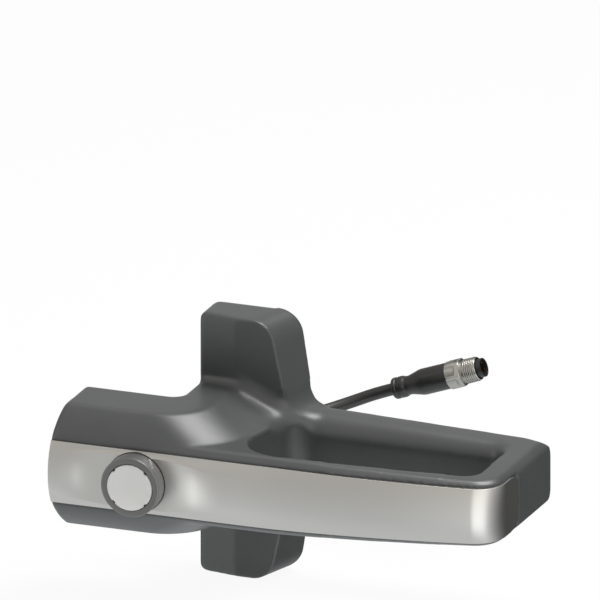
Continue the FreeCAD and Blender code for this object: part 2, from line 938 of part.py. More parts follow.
insertPlaces = [
    (x, z) for x in ("0 - insertX", "insertX") for z in ("0 - insertZ", "insertZ")
]
insertHoles = [
    disc("insertHole%d" % index, "insertRadius", "insertHoleDepth", "0 - 1", x, z)
    for index, (x, z) in enumerate(insertPlaces)
]

cells = []
for index in range(int(value("cellCount"))):
    cell = slabBox(
        "gripCell%d" % index,
        ("cellStart", "cellStart + cellWidth"),
        ("0 - cellDepth", "1"),
        ("0 - cellHalfHeight", "cellHalfHeight"),
    )
    bind(cell, Placement_Base_x="cellStart + " + " + ".join(["cellPitch"] * index + ["0"]))
    cells.append(cell)
stemSides = (
    ("0 - stemCellOffset - stemCellHalfWidth", "stemCellHalfWidth - stemCellOffset"),
    ("stemCellOffset - stemCellHalfWidth", "stemCellOffset + stemCellHalfWidth"),
)
stemLevels = (
    ("stemCellLow", "stemCellLow + stemCellHeight"),
    ("0 - stemCellLow - stemCellHeight", "0 - stemCellLow"),
)
for across, sides in enumerate(stemSides):
    for level, heights in enumerate(stemLevels):
        name = "stemCell%d%d" % (across, level)
        cells.append(slabBox(name, sides, ("0 - stemCellDepth", "1"), heights))

hollows = [stripRecess, carrierPocket, cavity, leadHole, glandHole]
housingHollows = fused("housingHollows", hollows + screwHoles + insertHoles + cells)
housing = cutFrom("handle_housing", outerForm, housingHollows)

# Carrier plate and its screws

carrierPlate = slabBox(
    "carrierPlate",
    ("carrierLeft", "carrierRight"),
    (behind(carrierFront), behind(carrierBack)),
    ("0 - carrierHalf", "carrierHalf"),
)
carrierHoles = [disc("carrierHole", "barrelRadius + seatClearance", lensFront, blockBack)]
screwPieces = []
for index, x in enumerate(screwPlaces):
    carrierHoles += [
        disc(
            "carrierBore%d" % index,
            "carrierScrewRadius + seatClearance",
            "stripDepth",
            blockBack,
            x,
        ),
        disc(
            "carrierSink%d" % index,
            "carrierScrewHead + seatClearance",
            "stripDepth",
            carrierFront + " - carrierScrewHeadHeight",
            x,
        ),
    ]
    shank = disc(
        "screwShank%d" % index,
        "carrierScrewRadius - seatClearance",
        carrierFront,
        carrierFront + " - carrierScrewLength",
        x,
    )
    head = disc(
        "screwHead%d" % index,
        "carrierScrewHead",
        carrierFront,
        carrierFront + " - carrierScrewHeadHeight",
        x,
    )
    screwPieces.append(fused("carrierScrew%d" % index, [shank, head]))
carrier = cutFrom("button_carrier", carrierPlate, fused("carrierHoles", carrierHoles))
carrierScrews = grouped("carrier_screws", screwPieces)

# Push button

collar = revolved(
    "button_collar",
    [
        ("barrelRadius + seatClearance", seatFace + " + gasketThickness"),
        ("collarRadius", seatFace + " + gasketThickness"),
        ("collarRadius", collarFront + " - collarBevel"),
        ("collarRadius - collarBevel", collarFront),
        ("collarBore", collarFront),
        ("collarBore", barrelFront),
        ("barrelRadius + seatClearance", barrelFront),
    ],
)
gasket = revolved(
    "collar_gasket",
    [
        ("barrelRadius + seatClearance", seatFace),
        ("gasketRadius", seatFace),
        ("gasketRadius", seatFace + " + gasketThickness"),
        ("barrelRadius + seatClearance", seatFace + " + gasketThickness"),
    ],
)

barrel = revolved(
    "button_body",
    [
        ("barrelBore", barrelBack),
        ("barrelBore", barrelFront),
        ("barrelRadius", barrelFront),
        ("barrelRadius", carrierBack),
        ("barrelFlange", carrierBack),
        ("barrelFlange", barrelBack),
    ],
)

lensBack = lensFront + " - lensThickness"
cap = revolved(
    "button_cap",
    [
        ("0", lensBack),
        ("0", skirtBack),
        ("barrelBore - slideClearance", skirtBack),
        ("barrelBore - slideClearance", lensBack + " - headThickness"),
        ("lensRadius", lensBack + " - headThickness"),
        ("lensRadius", lensBack),
    ],
)
lens = revolved(
    "button_lens",
    [
        ("0", lensBack),
        ("lensRadius", lensBack),
        ("lensRadius", lensFront + " - lensBevel"),
        ("lensRadius - lensBevel", lensFront),
        ("0", lensFront),
    ],
)
for turned in (collar, gasket, barrel, cap, lens):
    faceForward(turned)

plunger = disc("plunger", "plungerRadius", skirtBack, plungerTip)


def returnSpring():
    # flat wire wound from the contact block to the cap, in short straight runs
    radius = value("springRadius")
    wire = value("springWire")
    turns = value("springTurns")
    runs = int(turns * value("springRuns"))
    rise = value(skirtBack) - value(barrelBack) - wire
    corners = ((-wire / 2, 0), (wire / 2, 0), (wire / 2, wire), (-wire / 2, wire))
    rings = []
    for index in range(runs + 1):
        turn = 2 * math.pi * turns * index / runs
        ring = []
        for across, along in corners:
            reach = radius + across
            x = value("buttonX") + reach * math.cos(turn)
            y = -value(barrelBack) - rise * index / runs - along
            ring.append(Vector(x, y, reach * math.sin(turn)))
        rings.append(ring)
    loops = [rings[0], rings[-1]]
    for low, high in zip(rings, rings[1:]):
        for side in range(4):
            after = (side + 1) % 4
            loops.append([low[side], low[after], high[after]])
            loops.append([low[side], high[after], high[side]])
    faces = [Part.Face(Part.makePolygon(loop + loop[:1])) for loop in loops]
    shell = Part.makeShell(faces)
    shell.sewShape()
    coil = Part.Solid(shell)
    if coil.Volume < 0:
        coil.reverse()
    return coil


spring = feature("return_spring", returnSpring())

bridge = slabBox(
    "contact_bridge",
    ("buttonX - bridgeHalfWidth", "buttonX + bridgeHalfWidth"),
    (behind(plungerTip), behind(plungerTip) + " + bridgeThickness"),
    ("0 - bridgeHalfHeight", "bridgeHalfHeight"),
)

# Contact block, contacts and board behind the button

blockBody = slabBox(
    "blockBody",
    ("buttonX - blockHalfWidth", "buttonX + blockHalfWidth"),
    (behind(barrelBack), behind(blockBack)),
    ("0 - blockHalfHeight", "blockHalfHeight"),
)
chamber = slabBox(
    "chamber",
    ("buttonX - chamberHalfWidth", "buttonX + chamberHalfWidth"),
    (behind(barrelBack) + " + chamberWall", behind(blockBack) + " - chamberWall"),
    ("0 - chamberHalfHeight", "chamberHalfHeight"),
)
blockHole = disc("blockHole", "plungerRadius + slideClearance", barrelBack + " + 1", plungerTip)
contactPieces = []
contactSlots = []
for index, side in enumerate(("buttonX - contactX", "buttonX + contactX")):
    across = (side + " - contactHalf", side + " + contactHalf")
    heights = ("0 - bridgeHalfHeight", "bridgeHalfHeight")
    reach = behind(plungerTip) + " + bridgeThickness + buttonTravel + contactGap"
    depths = (reach, behind(blockBack))
    contactPieces.append(slabBox("fixedContact%d" % index, across, depths, heights))
    slot = (behind(blockBack) + " - chamberWall - 1", behind(blockBack))
    contactSlots.append(slabBox("contactSlot%d" % index, across, slot, heights))
blockSpaces = fused("blockSpaces", [chamber, blockHole] + contactSlots)
contactBlock = cutFrom("contact_block", blockBody, blockSpaces)
fixedContacts = grouped("fixed_contacts", contactPieces)

board = slabBox(
    "circuit_board",
    ("boardLeft", "boardRight"),
    (behind(blockBack), behind(blockBack) + " + boardThickness"),
    ("0 - boardHalf", "boardHalf"),
)
terminals = slabBox(
    "board_terminals",
    ("terminalLeft", "terminalRight"),
    (behind(blockBack) + " - terminalHeight", behind(blockBack)),
    ("0 - terminalHalf", "terminalHalf"),
)

# Cable outlet

innerLead = disc(
    "inner_lead", "cableRadius", blockBack + " - boardThickness", "0 - glandTail", "outletX"
)
gland = revolved(
    "cable_gland",
    [
        ("cableRadius + seatClearance", "0 - glandDepth"),
        ("glandBore - seatClearance", "0 - glandDepth"),
        ("glandBore - seatClearance", "0"),
        ("glandTailRadius", "glandTail"),
        ("cableRadius + seatClearance", "glandTail"),
    ],
)
bind(gland, Placement_Base_x="outletX")

# Threaded inserts in the mounting face

insertPieces = []
for index, (x, z) in enumerate(insertPlaces):
    sleeve = disc(
        "insertSleeve%d" % index, "insertRadius - seatClearance", "insertLength", "0", x, z
    )
    bore = disc("insertBore%d" % index, "insertBore", "insertLength + 1", "0 - 1", x, z)
    insertPieces.append(cutFrom("insert%d" % index, sleeve, bore))
inserts = grouped("mounting_inserts", insertPieces)

# Cable: chosen points of its route behind the door, from the gland to the plug

cablePoints = [
    Vector(value("outletX"), value("glandTail"), 0),
    Vector(value("outletX"), 19.0, 0),
    Vector(0.9, 33.9, -1.3),
    Vector(11.3, 46.0, -2.9),
    Vector(24.6, 56.2, 1.0),
    Vector(36.8, 60.2, 6.0),
    Vector(45.7, 60.3, 9.2),
]
plugPlace = cablePoints[-1]
plugAxis = (cablePoints[-1] - cablePoints[-2]).normalize()


def cableRoute():
    # straight runs joined by tangent arcs, as large as their two runs allow
    edges = []
    radii = []
    last = cablePoints[0]
    for before, corner, after in zip(cablePoints, cablePoints[1:], cablePoints[2:]):
        inward = before - corner
        outward = after - corner
        reach = 0.45 * min(inward.Length, outward.Length)
        halfTurn = (math.pi - inward.getAngle(outward)) / 2
        radius = reach / math.tan(halfTurn)
        first, middle, end = filletPoints(before, corner, after, radius)
        edges += [Part.LineSegment(last, first).toShape(), arcEdge(first, middle, end)]
        radii.append(round(radius, 1))
        last = end
    edges.append(Part.LineSegment(last, cablePoints[-1]).toShape())
    print("cable arc radii", radii)
    return Part.Wire(edges)


def cableTube():
    # the round jacket is drawn with flat sides
    route = cableRoute()
    radius = value("cableRadius")
    sides = int(value("cableSides"))
    turns = [2 * math.pi * index / sides for index in range(sides)]
    corners = [Vector(math.cos(turn), 0, math.sin(turn)) * radius for turn in turns]
    section = Part.makePolygon(corners + corners[:1])
    section.translate(cablePoints[0])
    tube = route.makePipeShell([section], True, False)
    expected = sides / 2 * math.sin(2 * math.pi / sides) * radius**2 * route.Length
    print("cable length %.1f, volume %.1f, expected %.1f" % (route.Length, tube.Volume, expected))
    return tube


cable = feature("cable", cableTube())

# Plug, along its own axis


def alongPlug(body):
    body.Placement = Placement(plugPlace, Rotation(Vector(0, 1, 0), plugAxis))


plugBody = revolved(
    "plug_body",
    [
        ("0", "0"),
        ("plugRearRadius", "0"),
        ("plugRearRadius", "plugRearLength"),
        ("plugNeckRadius", "plugNeckEnd"),
        ("plugBodyRadius", "plugConeEnd"),
        ("plugBodyRadius", "plugBodyEnd"),
        ("plugStemRadius", "plugBodyEnd"),
        ("plugStemRadius", "plugStemEnd"),
        ("0", "plugStemEnd"),
    ],
)
alongPlug(plugBody)

nut = revolved(
    "coupling_nut",
    [
        ("nutRearBore", "nutStart"),
        ("nutFlangeRadius", "nutStart"),
        ("nutFlangeRadius", "nutFlangeEnd"),
        ("nutThreadRadius", "nutFlangeEnd"),
        ("nutThreadRadius", "nutEnd"),
        ("nutBore", "nutEnd"),
        ("nutBore", "nutShoulder"),
        ("nutRearBore", "nutShoulder"),
    ],
)
alongPlug(nut)

insulator = revolved(
    "contact_carrier",
    [
        ("0", "plugStemEnd"),
        ("insulatorRadius", "plugStemEnd"),
        ("insulatorRadius", "insulatorEnd"),
        ("insulatorRadius - insulatorRimWall", "insulatorEnd"),
        ("insulatorRadius - insulatorRimWall", "insulatorFloor"),
        ("0", "insulatorFloor"),
    ],
)
alongPlug(insulator)

pinPieces = []
for index in range(int(value("pinCount"))):
    turn = 2 * math.pi * (index + 0.5) / value("pinCount")
    offset = Vector(math.cos(turn), 0, math.sin(turn)) * value("pinCircle")
    start = offset + Vector(0, value("insulatorFloor"), 0)
    length = value("pinEnd - insulatorFloor")
    pin = Part.makeCylinder(value("pinRadius"), length, start, Vector(0, 1, 0))
    pinPieces.append(pin)
pins = feature("contact_pins", Part.makeCompound(pinPieces))
alongPlug(pins)

# Check every object, then write one file for each node

nodes = [
    housing,
    trimStrip,
    carrier,
    carrierScrews,
    collar,
    gasket,
    barrel,
    contactBlock,
    fixedContacts,
    board,
    terminals,
    innerLead,
    gland,
    inserts,
    cable,
    plugBody,
    insulator,
    pins,
    cap,
    lens,
    plunger,
    bridge,
    spring,
    nut,
]
doc.recompute()
for item in doc.Objects:
    if "Invalid" in item.State or "Error" in item.State:
        raise RuntimeError("failed: " + item.Name)
for node in nodes:
    if node.Shape.isNull() or not node.Shape.isValid():
        raise RuntimeError("bad shape: " + node.Name)
    node.Label = node.Name
for node in nodes:
    node.Shape.exportStep("parts/%s.step" % node.Label)
    print(node.Label, len(node.Shape.Solids), round(node.Shape.Volume, 1))
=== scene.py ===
import math

import bmesh
import bpy
import numpy as np
from mathutils import Matrix, Vector


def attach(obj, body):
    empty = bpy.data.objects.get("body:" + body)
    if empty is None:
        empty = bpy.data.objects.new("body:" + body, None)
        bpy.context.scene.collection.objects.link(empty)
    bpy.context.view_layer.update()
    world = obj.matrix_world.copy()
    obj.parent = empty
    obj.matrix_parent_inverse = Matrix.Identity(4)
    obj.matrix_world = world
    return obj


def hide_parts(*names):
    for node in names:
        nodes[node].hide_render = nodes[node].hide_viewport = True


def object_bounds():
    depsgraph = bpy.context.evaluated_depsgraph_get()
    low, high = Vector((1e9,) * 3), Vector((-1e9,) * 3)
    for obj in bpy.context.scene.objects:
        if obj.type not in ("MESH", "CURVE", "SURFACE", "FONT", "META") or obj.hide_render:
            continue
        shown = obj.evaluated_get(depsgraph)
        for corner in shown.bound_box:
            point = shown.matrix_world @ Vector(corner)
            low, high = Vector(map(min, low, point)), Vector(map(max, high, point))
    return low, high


# Guard door grip handle: dressed over the CAD frame, in metres.
# X runs to the grip, Y back to the door, Z up.

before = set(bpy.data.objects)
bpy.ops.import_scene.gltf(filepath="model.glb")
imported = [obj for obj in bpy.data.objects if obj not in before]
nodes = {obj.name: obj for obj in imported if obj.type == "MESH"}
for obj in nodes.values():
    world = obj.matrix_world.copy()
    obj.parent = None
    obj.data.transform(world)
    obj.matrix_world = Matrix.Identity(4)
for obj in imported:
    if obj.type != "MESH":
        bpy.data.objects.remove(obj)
cadBox = [list(corner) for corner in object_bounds()]
scene = bpy.context.scene
scene.view_settings.view_transform = "Standard"

# Camera

viewSetup = {
    "turn": 21.0,  # degrees that the camera stands to the right of straight ahead
    "lift": 19.1,  # degrees above the horizon
    "width": 0.2857,  # metres across the picture
    "aim": (0.0365, -0.0415, 0.0),
    "clip": (0.01, 20),
    "rise": 0.08095,  # picture centre above the aim, along the picture's height
    "distance": 1.4,
}


def makeCamera(setup):
    turn = math.radians(setup["turn"])
    lift = math.radians(setup["lift"])
    back = Vector(
        (math.sin(turn) * math.cos(lift), -math.cos(turn) * math.cos(lift), math.sin(lift))
    )
    up = Vector(
        (-math.sin(turn) * math.sin(lift), math.cos(turn) * math.sin(lift), math.cos(lift))
    )
    data = bpy.data.cameras.new("photoCamera")
    data.type = "ORTHO"
    data.ortho_scale = setup["width"]
    data.clip_start, data.clip_end = setup["clip"]
    camera = bpy.data.objects.new("photoCamera", data)
    scene.collection.objects.link(camera)
    camera.location = Vector(setup["aim"]) + up * setup["rise"] + back * setup["distance"]
    camera.rotation_euler = back.to_track_quat("Z", "Y").to_euler()
    scene.camera = camera


makeCamera(viewSetup)
print("camera set")


# Makers that the pieces share


def addPiece(name, mesh, material, body):
    piece = bpy.data.objects.new(name, mesh)
    scene.collection.objects.link(piece)
    mesh.materials.clear()
    mesh.materials.append(material)
    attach(piece, body)
    return piece


def frameAlong(axis):
    # rotation whose Z is the axis
    return Vector(axis).normalized().to_track_quat("Z", "Y").to_matrix().to_4x4()


def smoothByAngle(mesh, degrees):
    # smooth faces, with edges steeper than the angle kept sharp
    limit = math.radians(degrees)
    work = bmesh.new()
    work.from_mesh(mesh)
    for face in work.faces:
        face.smooth = True
    for edge in work.edges:
        edge.smooth = len(edge.link_faces) == 2 and edge.calc_face_angle(0) < limit
    work.to_mesh(mesh)
    work.free()


def turnedMesh(name, profile, place, axis, steps, sharp=40):
    # profile: (radius, distance along the axis) points, a radius of 0 at an end closes it
    work = bmesh.new()
    rings = []
    for radius, along in profile:
        if radius == 0:
            rings.append([work.verts.new((0, 0, along))])
        else:
            rings.append(
                [
                    work.verts.new(
                        (
                            radius * math.cos(2 * math.pi * step / steps),
                            radius * math.sin(2 * math.pi * step / steps),
                            along,
                        )
                    )
                    for step in range(steps)
                ]
            )
    closed = profile[0][0] != 0 and profile[-1][0] != 0
    pairs = list(zip(rings, rings[1:])) + ([(rings[-1], rings[0])] if closed else [])
    for low, high in pairs:
        for step in range(steps):
            after = (step + 1) % steps
            corners = []
            for ring, index in ((low, step), (low, after), (high, after), (high, step)):
                corner = ring[index % len(ring)]
                if corner not in corners:
                    corners.append(corner)
            if len(corners) > 2:
                work.faces.new(corners)
    bmesh.ops.recalc_face_normals(work, faces=work.faces)
    mesh = bpy.data.meshes.new(name)
    work.to_mesh(mesh)
    work.free()
    mesh.transform(Matrix.Translation(Vector(place)) @ frameAlong(axis))
    smoothByAngle(mesh, sharp)
    return mesh


def roundedCorner(centre, radius, start, end, steps=5):
    # arc points for a profile, angles in degrees
    return [
        (
            centre[0] + radius * math.cos(math.radians(start + (end - start) * step / steps)),
            centre[1] + radius * math.sin(math.radians(start + (end - start) * step / steps)),
        )
        for step in range(steps + 1)
    ]


def finishedCopy(nodeName, sharp):
    # merged copy of a CAD node's mesh with smooth curved faces
    mesh = nodes[nodeName].data.copy()
    work = bmesh.new()
    work.from_mesh(mesh)
    bmesh.ops.remove_doubles(work, verts=work.verts, dist=2e-6)
    work.to_mesh(mesh)
    work.free()
    smoothByAngle(mesh, sharp)
    return mesh


# Materials


def newGroup(name, inputs, outputs):
    group = bpy.data.node_groups.new(name, "ShaderNodeTree")
    for socketName, kind, default in inputs:
        socket = group.interface.new_socket(socketName, in_out="INPUT", socket_type=kind)
        socket.default_value = default
    for socketName, kind in outputs:
        group.interface.new_socket(socketName, in_out="OUTPUT", socket_type=kind)
    start = group.nodes.new("NodeGroupInput")
    end = group.nodes.new("NodeGroupOutput")
    return group, start, end


def addNode(tree, kind, settings=None, **inputs):
    node = tree.nodes.new(kind)
    for name, setting in (settings or {}).items():
        setattr(node, name, setting)
    for name, wanted in inputs.items():
        socket = node.inputs[int(name[1:]) if name[0] == "_" else name.replace("_", " ")]
        if isinstance(wanted, bpy.types.NodeSocket):
            tree.links.new(wanted, socket)
        else:
            socket.default_value = wanted
    return node


surfaceSetup = {
    # noise of the fine lines or grain, noise of broad uneven handling, and how lines are drawn out
    "grain": {
        "fine": {"Detail": 3.0, "Roughness": 0.6},
        "broad": {"Detail": 4.0, "Roughness": 0.55},
    },
    "brushed": {
        "fine": {"Detail": 1.0},
        "broad": {"Detail": 1.0},
        "drawn": {"Location": (0.000227, 0.000247, 0.0), "Scale": (0.0028, 0.0, 1.0)},
    },
}


def makeSurface(name, setup):
    # group that gives a height, and a mask of broad uneven handling
    group, start, end = newGroup(
        name + "Surface",
        [
            ("Scale", "NodeSocketFloat", 1500.0),
            ("Broad Scale", "NodeSocketFloat", 30.0),
        ],
        [("Height", "NodeSocketFloat"), ("Cloud", "NodeSocketFloat")],
    )
    place = addNode(group, "ShaderNodeTexCoord").outputs["Object"]
    finePlace = place
    if "drawn" in setup:
        mapping = addNode(group, "ShaderNodeMapping", Vector=place, **setup["drawn"])
        finePlace = mapping.outputs["Vector"]
    for way, scale, noise, output in (
        (finePlace, "Scale", setup["fine"], "Height"),
        (place, "Broad Scale", setup["broad"], "Cloud"),
    ):
        source = addNode(
            group, "ShaderNodeTexNoise", Vector=way, Scale=start.outputs[scale], **noise
        )
        group.links.new(source.outputs["Fac"], end.inputs[output])
    return group


surfaceGroups = {name: makeSurface(name, setup) for name, setup in surfaceSetup.items()}


def mixColours(tree, mask, first, second):
    node = addNode(tree, "ShaderNodeMix", {"data_type": "RGBA"})
    tree.links.new(mask, node.inputs["Factor"])
    for index, wanted in ((6, first), (7, second)):
        if isinstance(wanted, bpy.types.NodeSocket):
            tree.links.new(wanted, node.inputs[index])
        else:
            node.inputs[index].default_value = wanted
    return node.outputs[2]


def rangeMap(tree, source, low, high, fromLow=0.1, fromHigh=0.9):
    node = addNode(
        tree,
        "ShaderNodeMapRange",
        Value=source,
        From_Min=fromLow,
        From_Max=fromHigh,
        To_Min=low,
        To_Max=high,
    )
    return node.outputs["Result"]


def linear(red, green, blue):
    # colour as seen on a screen, 0 to 255, as the shader's own numbers
    def channel(level):
        level /= 255
        return level / 12.92 if level <= 0.04045 else ((level + 0.055) / 1.055) ** 2.4

    return (channel(red), channel(green), channel(blue), 1.0)


plainLook = {
    # values of a material that doesn't name its own
    "surface": "grain",
    "grainScale": 1500.0,
    "cloudScale": 30.0,
    "spread": 0.12,  # how uneven the colour is
    "glossSpread": 0.06,
    "metallic": 0.0,
    "specular": 0.5,
    "bump": 0.15,
    "depth": 0.0001,
}


def grainMaterial(name, ownLook):
    # plastic, rubber or plain metal with fine grain and slightly uneven colour and gloss
    look = {**plainLook, **ownLook}
    material = bpy.data.materials.new(name)
    material.use_nodes = True
    tree = material.node_tree
    shader = tree.nodes["Principled BSDF"]
    grain = addNode(tree, "ShaderNodeGroup", {"node_tree": surfaceGroups[look["surface"]]})
    grain.inputs["Scale"].default_value = look["grainScale"]
    grain.inputs["Broad Scale"].default_value = look["cloudScale"]
    base = Vector(linear(*look["colour"])[:3])
    first = (*(base * (1 - look["spread"])), 1)
    second = (*(base * (1 + look["spread"])), 1)
    cloud = rangeMap(tree, grain.outputs["Cloud"], 0.0, 1.0)
    tree.links.new(mixColours(tree, cloud, first, second), shader.inputs["Base Color"])
    rough, spread = look["roughness"], look["glossSpread"]
    roughness = rangeMap(tree, grain.outputs["Cloud"], rough - spread, rough + spread)
    tree.links.new(roughness, shader.inputs["Roughness"])
    shader.inputs["Metallic"].default_value = look["metallic"]
    shader.inputs["Specular IOR Level"].default_value = look["specular"]
    bump = addNode(
        tree,
        "ShaderNodeBump",
        Strength=look["bump"],
        Distance=look["depth"],
        Height=grain.outputs["Height"],
    )
    tree.links.new(bump.outputs["Normal"], shader.inputs["Normal"])
    return material


looks = {
    "housingPlastic": {"colour": (73, 75, 75), "roughness": 0.36, "grainScale": 1400},
    "stripMetal": {
        "colour": (177, 175, 171),
        "roughness": 0.31,
        "metallic": 1.0,
        "surface": "brushed",
        "cloudScale": 9.0,
        "spread": 0.05,
        "bump": 0.03,
    },
    "blackPlastic": {"colour": (28, 28, 30), "roughness": 0.5},
    "collarPlastic": {"colour": (106, 106, 104), "roughness": 0.32, "metallic": 0.4},
    "lensPlastic": {"colour": (240, 240, 238), "roughness": 0.4},
    "sealRubber": {"colour": (24, 24, 25), "roughness": 0.7},
    "jacket": {"colour": (34, 33, 33), "roughness": 0.45},
    "plugPlastic": {"colour": (29, 28, 27), "roughness": 0.42},
    "nickel": {"colour": (156, 154, 149), "roughness": 0.36, "metallic": 1.0},
    "brass": {"colour": (190, 150, 90), "roughness": 0.3, "metallic": 1.0},
    "board": {"colour": (30, 80, 45), "roughness": 0.5},
}
materials = {name: grainMaterial(name, look) for name, look in looks.items()}
print("materials made")

nodeMaterials = {
    "handle_housing": "housingPlastic",
    "trim_strip": "stripMetal",
    "button_carrier": "blackPlastic",
    "carrier_screws": "nickel",
    "button_collar": "collarPlastic",
    "collar_gasket": "sealRubber",
    "button_body": "blackPlastic",
    "contact_block": "blackPlastic",
    "fixed_contacts": "brass",
    "circuit_board": "board",
    "board_terminals": "blackPlastic",
    "inner_lead": "jacket",
    "cable_gland": "sealRubber",
    "mounting_inserts": "brass",
    "cable": "jacket",
    "plug_body": "plugPlastic",
    "contact_carrier": "blackPlastic",
    "contact_pins": "brass",
    "button_cap": "lensPlastic",
    "button_lens": "lensPlastic",
    "plunger": "blackPlastic",
    "contact_bridge": "brass",
    "return_spring": "nickel",
    "coupling_nut": "nickel",
}
for nodeName, node in nodes.items():
    node.data.materials.clear()
    node.data.materials.append(materials[nodeMaterials[nodeName]])

# Cable

cableSetup = {
    "points": [
        (-0.003, 0.010, 0.0),
        (-0.003, 0.019, 0.0),
        (0.0009, 0.0339, -0.0013),
        (0.0113, 0.0460, -0.0029),
        (0.0246, 0.0562, 0.0010),
        (0.0368, 0.0602, 0.0060),
        (0.0457, 0.0603, 0.0092),
    ],
    "diameter": 0.0059,
    "length": 0.0803,
}


def makeCable(setup):
    curve = bpy.data.curves.new("cableLine", "CURVE")
    curve.dimensions = "3D"
    curve.resolution_u = 16
    curve.bevel_depth = setup["diameter"] / 2
    curve.bevel_resolution = 8
    spline = curve.splines.new("NURBS")
    spline.points.add(len(setup["points"]) - 1)
    for point, place in zip(spline.points, setup["points"]):
        point.co = (*place, 1.0)
    spline.order_u = 3
    spline.use_endpoint_u = True
    cable = bpy.data.objects.new("cableLine", curve)
    scene.collection.objects.link(cable)
    curve.materials.append(materials["jacket"])
    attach(cable, "handle")
    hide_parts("cable")
    return cable


cable = makeCable(cableSetup)
print("cable laid")

# Housing: the CAD form with its edges softened as a moulding's are, radii in millimetres

housingSetup = {
    "voxel": 0.00085,
    "sharp": 28,  # degrees from which an edge of the solid counts as sharp
    # passes of smoothing: more passes make a larger radius
    "edgePasses": 8,
    "lipPasses": 2,  # beside the strip, where the edge stays crisp
    "crispPasses": 3,  # the flange's front right edge, and the left end beside the strip
    "rearPasses": 12,
    "gripPasses": (30, 20),  # opening's rear edge: at its left and right ends
    "brimPasses": 14,  # opening's front edge
    # flange
    "flangeHalf": 65.3,
    "flangeDepth": 22.2,
    "flangeTop": (21.0, 13.6),  # right side's place at the top: at the door, in front
    "flangeFoot": (28.2, 23.4),
    "flangeRound": 13.0,
    "flangeFrom": 30,  # height above which the flange stands clear of the rest
    "snap": 0.5,  # reach within which points settle on the flange's side
    "rearRound": 1.0,
    "rearBand": 3,  # depth from the door that the rear passes cover
    "stillBand": (3, 4),  # reach and depth of the settled rear edge, which isn't smoothed
    "stillFrom": 31,
    "crispReach": (2, 2.5),
    "crispFrom": 32,
    # fold between flange and sweep, point by point: place, passes, reach
    "cove": (
        ((-23.0, -19.5, 30.5), 20.0, 4.0),
        ((-0.3, -24.0, 30.3), 70.0, 6.0),
        ((21.6, -28.0, 21.1), 150.0, 13.0),
    ),
    "coveCore": 1.5,  # a larger number keeps the full passes over more of the reach
    # button end
    "facet": (15.5, 30.45),  # heights between which its front facets bulge
    "bulge": 1.1,
    "bulgeSpan": (-45.0, 0.0),
    "bulgeBehind": -62,
    "bulgeWay": (0.74, 0.67),  # forward and outward share
    "endDraw": 2.7,  # how far the left end leans in at its upper and lower edges
    "endSpan": (-74.2, -62.0),
    "endBehind": -50,
    "endTight": 0.65,  # how much smaller the end's rounding is beside the strip
    "endReach": 4,
    "endCrisp": (-71, 20),  # place and height up to which the end stays crisp
    # grip loop and its opening
    "gripHalf": 19.35,
    "gripTaper": 3.15,  # how much lower the loop is at its right end
    "taper": (40.0, 148.9),
    "gripRound": (12.0, 9.0),  # opening's rear edge: radius at its left and right ends
    "gripSides": 2.5,  # the same at its side walls
    "gripLeast": 0.5,  # radius below which nothing is rounded
    "gripFade": (24, 12),  # where the radius starts to grow, and over which length
    "gripBehind": (-1, -32),  # least distance from the wall, and depth, that are rounded
    "gripBelow": 40,
    "gripCorners": ((34.6, -31.5, 12.0), (124.4, -29.5, 10.0)),  # plan: centre and radius
    "gripReach": (9, 5),
    "gripLead": 8,
    "gripFeather": 3,
    "openingRear": -19.5,
    "openingSpan": (24.0, 134.0),
    "brimSpan": (20, 136),
    "brimBand": 3,
    "brimRear": -45,
    "brimFront": -80,
    "frontBend": 24,
    "frontRadius": 620,
    "backRound": (4.5, 8.5),  # rear edge of the loop: radius along it and at its right end
    "backSpan": (136, 11),
    # edge beside the strip
    "lipHalf": (15.8, 13.8),
    "lipReach": 1.3,
    "lipRear": -43,
    "lipFront": (-70, 0.2, 40, 200),  # place, slope, and where the slope starts and how far it goes
    "lipCorner": 140,
}


def between(ends, share):
    return ends[0] + (ends[1] - ends[0]) * share


def meshFrom(piece):
    # plain mesh of a piece with its modifiers
    depsgraph = bpy.context.evaluated_depsgraph_get()
    return bpy.data.meshes.new_from_object(piece.evaluated_get(depsgraph))


def flangeOffset(x, y, height):
    # distance outside the flange's right side and its upper corner, with the way out
    setup = housingSetup
    share = np.clip(-y / setup["flangeDepth"], 0, 1)
    top = between(setup["flangeTop"], share)
    foot = between(setup["flangeFoot"], share)
    drop = setup["flangeHalf"] - setup["gripHalf"]
    length = np.hypot(foot - top, drop)
    radius = setup["flangeRound"]
    centreX = top - radius * (length - foot + top) / drop
    centreZ = setup["flangeHalf"] - radius
    aside, above = x - centreX, height - centreZ
    apart = np.maximum(np.hypot(aside, above), 0.001)
    corner = (above > 0) & (aside * (foot - top) < above * drop) & (aside > 0)
    wayX = np.where(corner, aside / apart, drop / length)
    wayZ = np.where(corner, above / apart, (foot - top) / length)
    plain = wayX * (x - top) + wayZ * (height - setup["flangeHalf"])
    return np.where(corner, apart - radius, plain), corner, wayX, wayZ


def loopTop(x):
    # half height of the grip loop
    setup = housingSetup
    start, end = setup["taper"]
    return setup["gripHalf"] - setup["gripTaper"] * np.clip((x - start) / (end - start), 0, 1)


